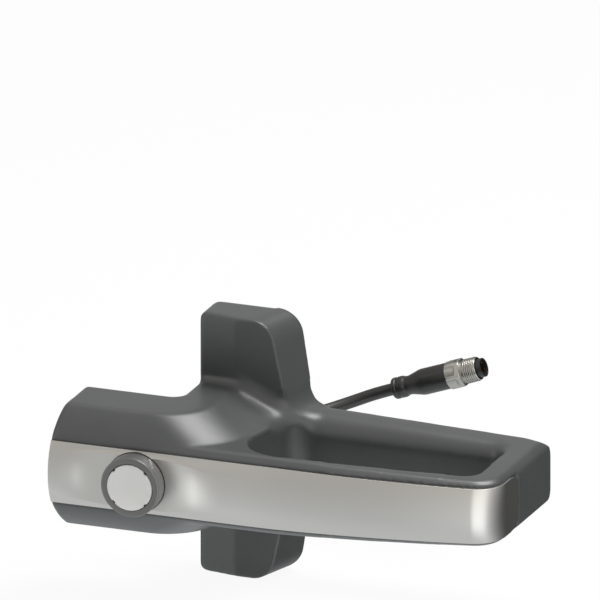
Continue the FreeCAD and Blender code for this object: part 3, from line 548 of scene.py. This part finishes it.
def roundedGrip(x, y, height):
    # large soft radius along the opening's rear edge, and one at the loop's far rear corner
    setup = housingSetup
    top = loopTop(x)
    left, right = setup["gripCorners"]
    centre = np.where((x < left[0])[:, None], left, right)
    aside, behind = x - centre[:, 0], y - centre[:, 1]
    apart = np.maximum(np.hypot(aside, behind), 0.001)
    corner = ((x < left[0]) | (x > right[0])) & (behind > 0)
    wayX, wayY = np.where(corner, aside / apart, 0), np.where(corner, behind / apart, 1)
    away = np.where(corner, apart - centre[:, 2], y - setup["openingRear"])
    share = np.clip((x - left[0]) / (right[0] - left[0]), 0, 1)
    sides = setup["gripSides"]
    radius = sides + (between(setup["gripRound"], share) - sides) * wayY**2
    start, length = setup["gripFade"]
    radius *= np.clip((x - start) / length, 0, 1)
    down = np.maximum(top - height, 0)
    apart = np.maximum(np.hypot(radius - down, radius - away), 0.001)
    nearest, deepest = setup["gripBehind"]
    moved = (apart > radius) & (down < radius) & (away < radius) & (away > nearest)
    moved &= (radius > setup["gripLeast"]) & (y > deepest) & (height < setup["gripBelow"])
    share = np.where(moved, 1 - radius / apart, 0)
    x, y = x + wayX * (radius - away) * share, y + wayY * (radius - away) * share
    height = height - (radius - down) * share
    start, length = setup["backSpan"]
    radius = between(setup["backRound"], np.clip((x - start) / length, 0, 1))
    down = top - height
    apart = np.maximum(np.hypot(radius - down, radius + y), 0.001)
    moved = (apart > radius) & (down < radius) & (-y < radius) & (x > start)
    share = np.where(moved, 1 - radius / apart, 0)
    return x, y - (radius + y) * share, height - (radius - down) * share


def shaped(places):
    # true side, corner and rear edge for the flange, bulging facets, drawn in left end
    setup = housingSetup
    x, y, z = places.T
    height = np.abs(z)
    offset, corner, wayX, wayZ = flangeOffset(x, y, height)
    flange = height > setup["flangeFrom"]
    settle = ((np.abs(offset) < setup["snap"]) | (corner & (offset > 0))) & flange
    move = np.where(settle, offset, 0)
    x, height = x - wayX * move, height - wayZ * move
    radius = setup["rearRound"]
    inward, back = move - offset, -y
    edge = (inward < radius) & (back < radius) & (inward > -setup["snap"])
    edge &= height > setup["flangeFrom"]
    apart = np.maximum(np.hypot(radius - inward, radius - back), 0.001)
    scale = np.where(edge, radius / apart, 1)
    push = (radius - inward) * (1 - scale)
    x, height = x - wayX * np.where(edge, push, 0), height - wayZ * np.where(edge, push, 0)
    y = np.where(edge, -(radius - (radius - back) * scale), y)
    x, y, height = roundedGrip(x, y, height)
    low, high = setup["facet"]
    across = np.clip((height - low) / (high - low), 0, 1)
    start, end = setup["bulgeSpan"]
    fade = np.clip((end - x) / (end - start), 0, 1)
    out = setup["bulge"] * 4 * across * (1 - across) * fade * fade * (3 - 2 * fade)
    out = np.where(y < setup["bulgeBehind"], out, 0)
    start, end = setup["endSpan"]
    inside = x - start
    tight = setup["endTight"] * (1 - across) * np.clip(1 - inside / setup["endReach"], 0, 1)
    x = np.where(y < setup["endBehind"], start + inside * (1 - tight), x)
    near = np.clip((end - x) / (end - start), 0, 1)
    x = x + setup["endDraw"] * across**2 * near**2
    forward, outward = setup["bulgeWay"]
    return np.column_stack((x, y - forward * out, np.sign(z) * (height + outward * out)))


def softened(mesh, passesAt):
    # each point moves towards its neighbours for its own number of passes
    count = len(mesh.vertices)
    places = np.empty(count * 3)
    mesh.vertices.foreach_get("co", places)
    places = shaped(places.reshape(-1, 3) * 1000) / 1000
    ends = np.empty(len(mesh.edges) * 2, int)
    mesh.edges.foreach_get("vertices", ends)
    first, second = ends.reshape(-1, 2).T
    share = np.bincount(first, minlength=count) + np.bincount(second, minlength=count)
    passes = passesAt(places * 1000)
    for turn in range(int(passes.max())):
        near = np.empty_like(places)
        for axis in range(3):
            near[:, axis] = np.bincount(first, places[second, axis], count)
            near[:, axis] += np.bincount(second, places[first, axis], count)
        moving = (passes > turn)[:, None]
        places += (near / share[:, None] - places) * 0.5 * moving
    mesh.vertices.foreach_set("co", places.ravel())
    mesh.update()


def gripPasses(x, y, height, top, passes):
    # more passes round the opening's rear edge, fewer along its front edge
    setup = housingSetup
    start, end = setup["openingSpan"]
    share = np.clip((x - start) / (end - start), 0, 1)
    reach = between(setup["gripReach"], share)
    apart = np.hypot(y - setup["openingRear"], height - top)
    lead = setup["gripLead"]
    inside = (apart < reach) & (x > start - lead) & (x < end + 1)
    fade = np.clip((reach - apart) / setup["gripFeather"], 0, 1)
    fade = fade * np.clip((x - start + lead) / lead, 0, 1)
    wanted = between(setup["gripPasses"], share)
    passes = np.where(inside, np.maximum(passes, wanted * fade), passes)
    past = np.maximum(x - setup["frontBend"], 0)
    start, end = setup["brimSpan"]
    brim = (x > start) & (x < end) & (np.abs(height - top) < setup["brimBand"])
    brim &= y > setup["brimFront"] + past**2 / (2 * setup["frontRadius"])
    brim &= y < setup["brimRear"]
    return np.where(brim, setup["brimPasses"], passes)


def covePasses(x, y, height, passes):
    # more passes along the fold between flange and sweep
    setup = housingSetup
    folded = np.column_stack((x, y, height))
    core = setup["coveCore"]
    for (before, low, near), (after, high, far) in zip(setup["cove"], setup["cove"][1:]):
        line = np.subtract(after, before)
        part = np.clip((folded - before) @ line / (line @ line), 0, 1)
        apart = np.linalg.norm(folded - before - part[:, None] * line, axis=1)
        fade = np.clip(core - core * apart / (near + (far - near) * part), 0, 1)
        passes = np.maximum(passes, (low + (high - low) * part) * fade)
    return passes


def housingPasses(places):
    # number of smoothing passes for each point
    setup = housingSetup
    x, y, z = places.T
    height = np.abs(z)
    start, end = setup["taper"]
    along = np.clip((x - start) / (end - start), 0, 1)
    passes = np.full(len(places), float(setup["edgePasses"]))
    passes = gripPasses(x, y, height, loopTop(x), passes)
    passes = covePasses(x, y, height, passes)
    side = (height - setup["gripHalf"]) / (setup["flangeHalf"] - setup["gripHalf"])
    side = between((setup["flangeFoot"][1], setup["flangeTop"][1]), side)
    deep, wide = setup["crispReach"]
    crisp = (np.abs(y + setup["flangeDepth"]) < deep) & (np.abs(x - side) < wide)
    crisp &= height > setup["crispFrom"]
    passes = np.where(crisp, setup["crispPasses"], passes)
    lip = between(setup["lipHalf"], along)
    beside = (np.abs(height - lip) < setup["lipReach"]) & (y < setup["lipRear"])
    front, slope, slopeStart, slopeLength = setup["lipFront"]
    ahead = y < front + slope * np.clip(x - slopeStart, 0, slopeLength)
    beside &= ahead | (x > setup["lipCorner"])
    passes = np.where(beside, setup["lipPasses"], passes)
    place, low = setup["endCrisp"]
    endCrisp = (x < place) & (height < low) & (y < setup["endBehind"])
    passes = np.where(endCrisp, setup["crispPasses"], passes)
    passes = np.where(y > -setup["rearBand"], setup["rearPasses"], passes)
    offset = flangeOffset(x, y, height)[0]
    reach, depth = setup["stillBand"]
    still = (np.abs(offset) < reach) & (y > -depth) & (height > setup["stillFrom"])
    return np.where(still, 0, passes)


def makeHousing(setup):
    rough = bpy.data.objects.new("housingRough", finishedCopy("handle_housing", setup["sharp"]))
    scene.collection.objects.link(rough)
    remesh = rough.modifiers.new("remesh", "REMESH")
    remesh.mode = "VOXEL"
    remesh.voxel_size = setup["voxel"]
    remesh.use_smooth_shade = True
    mesh = meshFrom(rough)
    bpy.data.objects.remove(rough)
    softened(mesh, housingPasses)
    mesh.name = "housingShell"
    print("housing faces", len(mesh.polygons))
    housing = addPiece("housingShell", mesh, materials["housingPlastic"], "handle")
    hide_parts("handle_housing")


makeHousing(housingSetup)
print("housing softened")

# Trim strip: one crowned plate along the front and round the right corner

stripSetup = {
    "left": -0.0737,
    "bend": 0.024,  # where the front starts to bend away
    "front": -0.0853,
    "right": 0.1489,
    "end": -0.0438,
    "radius": 0.62,
    "corner": 0.015,
    "rise": 0.0044,
    "thick": 0.0017,
    "half": (0.0155, 0.0135),
    "taperStart": 0.04,
    "endRound": 0.011,
    "endShare": 0.45,  # how much of a full round the corners at the right end take
    "edge": 0.0002,
    "edgeProfile": ((0.3, 0.35), (0.0, 1.1)),  # inset and drop, in parts of the edge
    "seatDepth": 0.003,
    "seat": (-0.0452, -0.0148),
    "ramp": 0.029,
    "hollow": (0.0104, 0.01296, 0.00935),  # half height of the hollow: left end, seat, right end
    "flankCove": 0.85,
    "creaseStep": 0.0003,
    "rows": 10,  # across half the hollow
    "flankRows": 7,
    "steps": (110, 60, 40, 40),  # along the front, the bend, the corner and the right side
    "sharp": 16,
}


def stripStations(setup):
    # plan line of the strip: place, outward direction, and how much of the crown is left
    centreY = setup["front"] + setup["radius"]
    cornerX = setup["right"] - setup["corner"]
    reach = setup["radius"] - setup["corner"]
    cornerY = centreY - math.sqrt(reach**2 - (cornerX - setup["bend"]) ** 2)
    cornerTurn = math.atan2(cornerX - setup["bend"], centreY - cornerY)
    stations = []
    steps, bendSteps, cornerSteps, sideSteps = setup["steps"]
    for step in range(steps):
        x = setup["left"] + (setup["bend"] - setup["left"]) * step / steps
        stations.append((Vector((x, setup["front"], 0)), 0.0, 1.0))
    for step in range(bendSteps):
        turn = cornerTurn * step / bendSteps
        place = Vector((setup["bend"], centreY, 0))
        place += Vector((math.sin(turn), -math.cos(turn), 0)) * setup["radius"]
        stations.append((place, turn, 1.0))
    for step in range(cornerSteps):
        turn = cornerTurn + (math.pi / 2 - cornerTurn) * step / cornerSteps
        place = Vector((cornerX, cornerY, 0))
        place += Vector((math.sin(turn), -math.cos(turn), 0)) * setup["corner"]
        share = (turn - cornerTurn) / (math.pi / 2 - cornerTurn)
        stations.append((place, turn, 0.5 + 0.5 * math.cos(math.pi * share)))
    for step in range(sideSteps + 1):
        share = math.sin(math.pi / 2 * step / sideSteps)
        y = cornerY + (setup["end"] - cornerY) * share
        stations.append((Vector((setup["right"], y, 0)), math.pi / 2, 0.0))
    return stations


def crownHeight(z, half, rise):
    radius = (half**2 + rise**2) / (2 * rise)
    return math.sqrt(max(0, radius**2 - z**2)) - (radius - rise)


def rampShare(past, length):
    # hollow and then rounded ramp from 0 to 1, level at both ends
    share = min(1, past / length)
    return 2 * share**2 if share < 0.5 else 1 - 2 * (1 - share) ** 2


def stripRow(setup, place, turn, crown):
    # half outline across the strip at a station: (height, offset) from the middle outward
    full = max(0, place.x - setup["taperStart"]) / (setup["right"] - setup["taperStart"])
    half = setup["half"][0] + (setup["half"][1] - setup["half"][0]) * full
    if turn == math.pi / 2:
        left = abs(setup["end"] - place.y)
        if left < setup["endRound"]:
            sink = setup["endRound"] - left
            drawn = setup["endRound"] - math.sqrt(setup["endRound"] ** 2 - sink**2)
            half -= setup["endShare"] * drawn
    wide, rise = setup["half"][0], setup["rise"]
    share = 1
    leftHollow, wideHollow, rightHollow = setup["hollow"]
    hollow = rightHollow
    if turn == 0:
        past = max(0, place.x - setup["seat"][1], setup["seat"][0] - place.x)
        share = rampShare(past, setup["ramp"])
        endHollow = rightHollow if place.x > setup["seat"][1] else leftHollow
        hollow = wideHollow + (endHollow - wideHollow) * min(1, past / setup["ramp"])
    edge = setup["edge"]
    rows = setup["rows"]
    near = setup["creaseStep"]
    crease = min(hollow, half - edge - 3 * near)
    levels = [(crease - near) * step / rows for step in range(rows)]
    levels += [crease - near + near * 0.5 * step for step in range(4)]
    rest = half - edge - crease - near
    flankRows = setup["flankRows"]
    levels += [crease + near + rest * step / flankRows for step in range(flankRows + 1)]
    outline = []
    for level in levels:
        offset = crownHeight(level, wide, rise) * crown
        inner = min(level, hollow) * wideHollow / hollow
        sunk = max(0, crownHeight(inner, wide, rise) - rise + setup["seatDepth"])
        if level > hollow:
            # coved flank between the hollow and the strip's edge
            left = max(0, 1 - (level - hollow) / (half - edge - hollow))
            sunk = crownHeight(level, wide, rise) - crownHeight(hollow, wide, rise) * left**2
            sunk *= setup["flankCove"]
        outline.append((level, offset - (1 - share) * sunk))
    offset = outline[-1][1]
    for inset, drop in setup["edgeProfile"]:
        outline.append((half - edge * inset, offset - edge * drop))
    outline.append((half, -setup["thick"]))
    return outline


def makeStrip(setup):
    work = bmesh.new()
    rows = []
    for place, turn, crown in stripStations(setup):
        outward = Vector((math.sin(turn), -math.cos(turn), 0))
        outline = stripRow(setup, place, turn, crown)
        outer = [(-z, out) for z, out in reversed(outline)] + outline[1:]
        rows.append(
            [work.verts.new(place + outward * out + Vector((0, 0, z))) for z, out in outer]
        )
    for before, after in zip(rows, rows[1:]):
        for index in range(len(before) - 1):
            work.faces.new((before[index], after[index], after[index + 1], before[index + 1]))
        work.faces.new((before[-1], after[-1], after[0], before[0]))
    work.faces.new(rows[0][::-1])
    work.faces.new(rows[-1])
    bmesh.ops.recalc_face_normals(work, faces=work.faces)
    mesh = bpy.data.meshes.new("stripShell")
    work.to_mesh(mesh)
    work.free()
    smoothByAngle(mesh, setup["sharp"])
    strip = addPiece("stripShell", mesh, materials["stripMetal"], "handle")
    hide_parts("trim_strip")


makeStrip(stripSetup)
print("strip made")

# Push button: collar, base ring, lens with its four small notches

buttonSetup = {
    "place": (-0.030, 0.0, 0.0),
    "axis": (0, -1, 0),
    "steps": 128,
    "collarRadius": 0.0148,
    "collarBore": 0.01165,
    "collarBack": 0.0850,
    "collarFront": 0.0948,
    "collarEdge": 0.0008,
    "boreEdge": 0.0003,
    "threadBore": 0.0112,  # where the collar is screwed on
    "threadFront": 0.0902,
    "sealBore": 0.0113,
    "sealRadius": 0.01512,
    "sealBack": 0.0862,
    "sealFront": 0.08685,
    "lensRadius": 0.01135,
    "lensBack": 0.0930,
    "lensFront": 0.0955,
    "lensEdge": 0.0005,
    "lensSink": 0.00004,  # how far the middle lies below the rim
    "lensFlat": 0.8,  # share of the radius that is flat
    "notches": 4,
    "notchRim": 0.001,
    "notchDepth": 0.0006,
    "notchHalf": 5.0,  # degrees
}


def makeCollar(setup):
    outer = setup["collarRadius"]
    bore = setup["collarBore"]
    front = setup["collarFront"]
    edge = setup["collarEdge"]
    inner, boreEdge = setup["threadBore"], setup["boreEdge"]
    profile = [(bore, setup["threadFront"]), (inner, setup["threadFront"])]
    profile += [(inner, setup["collarBack"]), (outer, setup["collarBack"])]
    profile += roundedCorner((outer - edge, front - edge), edge, 0, 90)
    profile += roundedCorner((bore + boreEdge, front - boreEdge), boreEdge, 90, 180, 3)
    mesh = turnedMesh("buttonCollar", profile, setup["place"], setup["axis"], setup["steps"])
    collar = addPiece("buttonCollar", mesh, materials["collarPlastic"], "handle")
    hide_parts("button_collar")


def makeSeal(setup):
    # dark seal that shows as a line round the collar
    back, front = setup["sealBack"], setup["sealFront"]
    bore, outer = setup["sealBore"], setup["sealRadius"]
    profile = [(bore, back), (outer, back), (outer, front), (bore, front)]
    mesh = turnedMesh("collarSeal", profile, setup["place"], setup["axis"], setup["steps"])
    seal = addPiece("collarSeal", mesh, materials["sealRubber"], "handle")
    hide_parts("collar_gasket")


def makeLens(setup):
    radius = setup["lensRadius"]
    front = setup["lensFront"]
    edge = setup["lensEdge"]
    middle = front - setup["lensSink"]
    profile = [(0, setup["lensBack"]), (radius, setup["lensBack"])]
    profile += roundedCorner((radius - edge, front - edge), edge, 0, 90)
    profile += [(radius * setup["lensFlat"], middle), (0, middle)]
    steps = setup["steps"]
    mesh = turnedMesh("buttonLens", profile, (0, 0, 0), (0, 0, 1), steps)
    apart = 360 / setup["notches"]
    for vertex in mesh.vertices:
        place = vertex.co
        far = math.hypot(place.x, place.y)
        turn = math.degrees(math.atan2(place.y, place.x)) % apart
        if far > radius - setup["notchRim"] and abs(turn - apart / 2) < setup["notchHalf"]:
            place.xy = place.xy * ((far - setup["notchDepth"]) / far)
    mesh.transform(Matrix.Translation(Vector(setup["place"])) @ frameAlong(setup["axis"]))
    lens = addPiece("buttonLens", mesh, materials["lensPlastic"], "push_button")
    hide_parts("button_lens")


makeCollar(buttonSetup)
makeSeal(buttonSetup)
makeLens(buttonSetup)
print("button made")

# Plug at the end of the cable

plugSetup = {
    "place": (0.0457, 0.0603, 0.0092),
    "axis": (0.94097, 0.010573, 0.338326),
    "steps": 72,
    "sharp": 25,
    # outline of the body, radius and distance along the plug: rear end, ring, neck, barrel, stem
    "rearRound": ((0.0044, 0.0009), 0.0008),
    "bodyOutline": (
        (0.0052, 0.0020),
        (0.0049, 0.0024),
        (0.0049, 0.0030),
        (0.0052, 0.0034),
        (0.0052, 0.0054),
        (0.0050, 0.0062),
        (0.0046, 0.0070),
        (0.0046, 0.0088),
        (0.0049, 0.0100),
        (0.0055, 0.0122),
        (0.0061, 0.0144),
        (0.00635, 0.0158),
        (0.00635, 0.0325),
        (0.0062, 0.0329),
        (0.0048, 0.0330),
        (0.0048, 0.0405),
        (0, 0.0405),
    ),
    "nutHexagon": 0.0072,  # from the middle to a corner of the nut
    "nutEdge": 0.0006,
    "nutSoft": 0.0002,
    "nutRearBore": 0.0067,
    "nutBore": 0.0052,
    "nutShoulder": 0.005,  # depth of the wider bore
    "threadRoot": 0.0054,
    "threadNeck": ((0.0058, 0.0), (0.0054, 0.0003), (0.0054, 0.0008)),
    "threadLead": (0.001, 0.0004),
    "nutSpan": (0.030, 0.0375),
    "threadSpan": (0.0385, 0.0453),
    "nutEnd": 0.0456,
    "threadPitch": 0.001,
    "threadRadius": 0.0056,
    "threadDepth": 0.0004,
}


def plugTransform(setup):
    return Matrix.Translation(Vector(setup["place"])) @ frameAlong(setup["axis"])


def makePlugBody(setup):
    centre, radius = setup["rearRound"]
    profile = [(0, 0.0), (centre[0], 0.0)]
    profile += roundedCorner(centre, radius, -90, 0, 4)
    profile += setup["bodyOutline"]
    place, axis = setup["place"], setup["axis"]
    mesh = turnedMesh("plugBody", profile, place, axis, setup["steps"], setup["sharp"])
    body = addPiece("plugBody", mesh, materials["plugPlastic"], "handle")
    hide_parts("plug_body")
    return body


def makeNut(setup):
    # nut with six flats and a threaded sleeve, as rings of points joined from end to end
    start, end = setup["nutSpan"]
    edge, soft = setup["nutEdge"], setup["nutSoft"]
    hexagon = setup["nutHexagon"]
    steps = setup["steps"]
    work = bmesh.new()

    def ring(radius, along, flats):
        corners = []
        for step in range(steps):
            turn = 2 * math.pi * step / steps
            side = (turn % (math.pi / 3)) - math.pi / 6
            reach = radius
            if flats:
                reach = min(radius, hexagon * math.cos(math.pi / 6) / math.cos(side))
            corners.append(
                work.verts.new((reach * math.cos(turn), reach * math.sin(turn), along))
            )
        return corners

    flatRings = (
        (hexagon - edge, start),
        (hexagon - soft, start + edge * 0.5),
        (hexagon, start + edge),
        (hexagon, end - edge),
        (hexagon - soft, end - edge * 0.5),
        (hexagon - edge, end),
    )
    front = setup["nutEnd"]
    lead, tip = setup["threadLead"]
    roundRings = [(radius, end + along) for radius, along in setup["threadNeck"]]
    roundRings += [
        (setup["threadRadius"], end + lead),
        (setup["threadRadius"], front - tip),
        (setup["threadRoot"], front),
        (setup["nutBore"], front),
        (setup["nutBore"], start + setup["nutShoulder"]),
        (setup["nutRearBore"], start + setup["nutShoulder"]),
    ]
    rings = [ring(setup["nutRearBore"], start, False)]
    rings += [ring(radius, along, True) for radius, along in flatRings]
    rings += [ring(radius, along, False) for radius, along in roundRings]
    for low, high in zip(rings, rings[1:] + rings[:1]):
        for step in range(steps):
            after = (step + 1) % steps
            work.faces.new((low[step], low[after], high[after], high[step]))
    bmesh.ops.recalc_face_normals(work, faces=work.faces)
    mesh = bpy.data.meshes.new("plugNut")
    work.to_mesh(mesh)
    work.free()
    mesh.transform(plugTransform(setup))
    smoothByAngle(mesh, setup["sharp"])
    nut = addPiece("plugNut", mesh, materials["nickel"], "coupling_nut")
    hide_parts("coupling_nut")
    return nut


def makeThreadTree(material):
    # helical ridge: a fine spiral swept with a small four sided section
    tree = bpy.data.node_groups.new("threadRidge", "GeometryNodeTree")
    for name in ("Turns", "Radius", "Length", "Depth"):
        tree.interface.new_socket(name, in_out="INPUT", socket_type="NodeSocketFloat")
    tree.interface.new_socket("Geometry", in_out="OUTPUT", socket_type="NodeSocketGeometry")
    start = tree.nodes.new("NodeGroupInput")
    end = tree.nodes.new("NodeGroupOutput")
    spiral = addNode(
        tree,
        "GeometryNodeCurveSpiral",
        Resolution=48,
        Rotations=start.outputs["Turns"],
        Start_Radius=start.outputs["Radius"],
        End_Radius=start.outputs["Radius"],
        Height=start.outputs["Length"],
    )
    section = addNode(
        tree, "GeometryNodeCurvePrimitiveCircle", Resolution=4, Radius=start.outputs["Depth"]
    )
    swept = addNode(
        tree,
        "GeometryNodeCurveToMesh",
        Curve=spiral.outputs["Curve"],
        Profile_Curve=section.outputs["Curve"],
    )
    swept.inputs["Fill Caps"].default_value = True
    real = addNode(tree, "GeometryNodeRealizeInstances", Geometry=swept.outputs["Mesh"])
    painted = addNode(tree, "GeometryNodeSetMaterial", Geometry=real.outputs["Geometry"])
    painted.inputs["Material"].default_value = material
    tree.links.new(painted.outputs["Geometry"], end.inputs[0])
    return tree


def treeMesh(name, tree, sizes):
    # plain mesh that a node tree gives for these sizes
    blank = bpy.data.meshes.new(name + "Blank")
    holder = bpy.data.objects.new(name + "Holder", blank)
    scene.collection.objects.link(holder)
    modifier = holder.modifiers.new("tree", "NODES")
    modifier.node_group = tree
    for item in tree.interface.items_tree:
        if item.in_out == "INPUT" and item.name in sizes:
            modifier[item.identifier] = sizes[item.name]
    mesh = meshFrom(holder)
    bpy.data.objects.remove(holder)
    mesh.name = name
    return mesh


def makeThread(setup):
    low, high = setup["threadSpan"]
    depth = setup["threadDepth"]
    length = high - low - 2 * depth
    mesh = treeMesh(
        "plugThread",
        makeThreadTree(materials["nickel"]),
        {
            "Turns": length / setup["threadPitch"],
            "Radius": setup["threadRadius"],
            "Length": length,
            "Depth": depth,
        },
    )
    mesh.transform(plugTransform(setup) @ Matrix.Translation((0, 0, low + depth)))
    thread = addPiece("plugThread", mesh, materials["nickel"], "coupling_nut")
    return thread


plugPieces = [makePlugBody(plugSetup), makeNut(plugSetup), makeThread(plugSetup)]
print("plug made")

# CAD pieces whose shape stays, with their round faces smoothed

smallSharp = 30  # degrees from which an edge of these pieces stays sharp
smoothPieces = {
    "cable_gland": ("cableGland", "sealRubber", "gland_rubber", "handle"),
    "mounting_inserts": ("threadedInserts", "brass", "insert_brass", "handle"),
    "contact_carrier": ("plugInsulator", "blackPlastic", "insulator_plastic", "handle"),
    "contact_pins": ("plugPins", "brass", "contact_brass", "handle"),
    "button_cap": ("buttonCap", "blackPlastic", "white_plastic", "push_button"),
}
for nodeName, (name, look, slotName, body) in smoothPieces.items():
    piece = addPiece(name, finishedCopy(nodeName, smallSharp), materials[look], body)
    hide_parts(nodeName)
    if nodeName in ("contact_carrier", "contact_pins"):
        plugPieces.append(piece)
print("small pieces smoothed")

# Floor and light

studio = {
    "floorHalf": 3.0,
    "floorPaper": {"Base Color": (0.82, 0.82, 0.82, 1), "Roughness": 0.9, "Specular IOR Level": 0.1},
    "floorWhite": 0.93,  # share of plain white that the camera sees on the floor
    "world": 0.38,  # light on the object from all round
    "surround": [
        # what gloss shows: degrees from straight ahead towards the grip, level
        (-180, 0.2),
        (-165, 0.45),
        (-110, 0.5),
        (-66, 0.7),
        (-54, 2.1),
        (-43, 2.1),
        (-34, 0.8),
        (2, 0.75),
        (14, 2.1),
        (60, 2.1),
        (82, 0.95),
        (110, 0.5),
        (135, 0.2),
        (156, 0.05),
        (170, 0.05),
        (180, 0.2),
    ],
    "below": 1.25,  # what that is multiplied by straight down, and from the upper limit up
    "above": 0.9,
    "fallSpan": (-1.0, 0.6),  # heights of the view line between which it changes
    "pole": 0.9,  # steeply up or down, where there are no panels
    "poleSpan": (0.55, 0.85),
    "tintSpan": (-0.7, 0.7),
    "coolBelow": (0.965, 1.0, 1.03, 1),
    "warmAbove": (1.02, 1.0, 0.96, 1),
    "lampAim": (0.03, -0.04, 0.0),
    "lamps": {
        # place, width, watts
        "overhead": ((0.30, 0.22, 1.12), 0.6, 15.0),
    },
}


def makeFloor(setup):
    half = setup["floorHalf"]
    level = cadBox[0][2]
    mesh = bpy.data.meshes.new("floor")
    signs = ((-1, -1), (1, -1), (1, 1), (-1, 1))
    corners = [(half * across, half * along, level) for across, along in signs]
    mesh.from_pydata(corners, [], [(0, 1, 2, 3)])
    floor = bpy.data.objects.new("floor", mesh)
    scene.collection.objects.link(floor)
    material = bpy.data.materials.new("floorPaper")
    material.use_nodes = True
    tree = material.node_tree
    shader = tree.nodes["Principled BSDF"]
    for name, wanted in setup["floorPaper"].items():
        shader.inputs[name].default_value = wanted
    output = tree.nodes["Material Output"]
    white = addNode(tree, "ShaderNodeEmission", Strength=1.0)
    path = addNode(tree, "ShaderNodeLightPath")
    share = addNode(
        tree,
        "ShaderNodeMath",
        {"operation": "MULTIPLY"},
        _0=path.outputs["Is Camera Ray"],
        _1=setup["floorWhite"],
    )
    mixed = addNode(tree, "ShaderNodeMixShader", Fac=share.outputs[0])
    tree.links.new(shader.outputs[0], mixed.inputs[1])
    tree.links.new(white.outputs[0], mixed.inputs[2])
    tree.links.new(mixed.outputs[0], output.inputs["Surface"])
    mesh.materials.append(material)
    floor.visible_glossy = False


def makeWorld(setup):
    # white to the camera, soft panels with a dark side in gloss, even light otherwise
    world = bpy.data.worlds.new("studio")
    scene.world = world
    world.use_nodes = True
    tree = world.node_tree
    background = tree.nodes["Background"]
    way = addNode(tree, "ShaderNodeTexCoord")
    parts = addNode(tree, "ShaderNodeSeparateXYZ", Vector=way.outputs["Generated"])
    ahead = addNode(
        tree, "ShaderNodeMath", {"operation": "MULTIPLY"}, _0=parts.outputs["Y"], _1=-1.0
    )
    turn = addNode(
        tree,
        "ShaderNodeMath",
        {"operation": "ARCTAN2"},
        _0=parts.outputs["X"],
        _1=ahead.outputs[0],
    )
    bearing = rangeMap(tree, turn.outputs[0], 0.0, 1.0, -math.pi, math.pi)
    ramp = addNode(tree, "ShaderNodeValToRGB", Fac=bearing)
    stops = ramp.color_ramp.elements
    top = max(level for degrees, level in setup["surround"])
    while len(stops) < len(setup["surround"]):
        stops.new(0.5)
    for stop, (degrees, level) in zip(stops, setup["surround"]):
        stop.position = (degrees + 180) / 360
        stop.color = (level / top, level / top, level / top, 1)
    panels = addNode(
        tree, "ShaderNodeMath", {"operation": "MULTIPLY"}, _0=ramp.outputs["Color"], _1=top
    )
    steep = addNode(tree, "ShaderNodeMath", {"operation": "ABSOLUTE"}, _0=parts.outputs["Z"])
    poleward = rangeMap(tree, steep.outputs[0], 0.0, 1.0, *setup["poleSpan"])
    around = addNode(tree, "ShaderNodeMix", Factor=poleward)
    tree.links.new(panels.outputs[0], around.inputs[2])
    around.inputs[3].default_value = setup["pole"]
    height = parts.outputs["Z"]
    fall = rangeMap(tree, height, setup["below"], setup["above"], *setup["fallSpan"])
    gloss = addNode(
        tree, "ShaderNodeMath", {"operation": "MULTIPLY"}, _0=around.outputs[0], _1=fall
    )
    path = addNode(tree, "ShaderNodeLightPath")
    lit = addNode(tree, "ShaderNodeMix", Factor=path.outputs["Is Glossy Ray"])
    lit.inputs[2].default_value = setup["world"]
    tree.links.new(gloss.outputs[0], lit.inputs[3])
    seen = addNode(
        tree,
        "ShaderNodeMath",
        {"operation": "MAXIMUM"},
        _0=path.outputs["Is Camera Ray"],
        _1=lit.outputs[0],
    )
    tree.links.new(seen.outputs[0], background.inputs["Strength"])
    upward = rangeMap(tree, height, 0.0, 1.0, *setup["tintSpan"])
    tint = mixColours(tree, upward, setup["coolBelow"], setup["warmAbove"])
    shown = mixColours(tree, path.outputs["Is Camera Ray"], tint, (1, 1, 1, 1))
    tree.links.new(shown, background.inputs["Color"])


def makeLamps(setup):
    aim = Vector(setup["lampAim"])
    for name, (place, width, watts) in setup["lamps"].items():
        data = bpy.data.lights.new(name, "AREA")
        data.shape = "SQUARE"
        data.size = width
        data.energy = watts
        lamp = bpy.data.objects.new(name, data)
        scene.collection.objects.link(lamp)
        lamp.visible_camera = False
        lamp.location = place
        lamp.rotation_euler = (Vector(place) - aim).to_track_quat("Z", "Y").to_euler()


makeFloor(studio)
makeWorld(studio)
makeLamps(studio)
print("studio set")
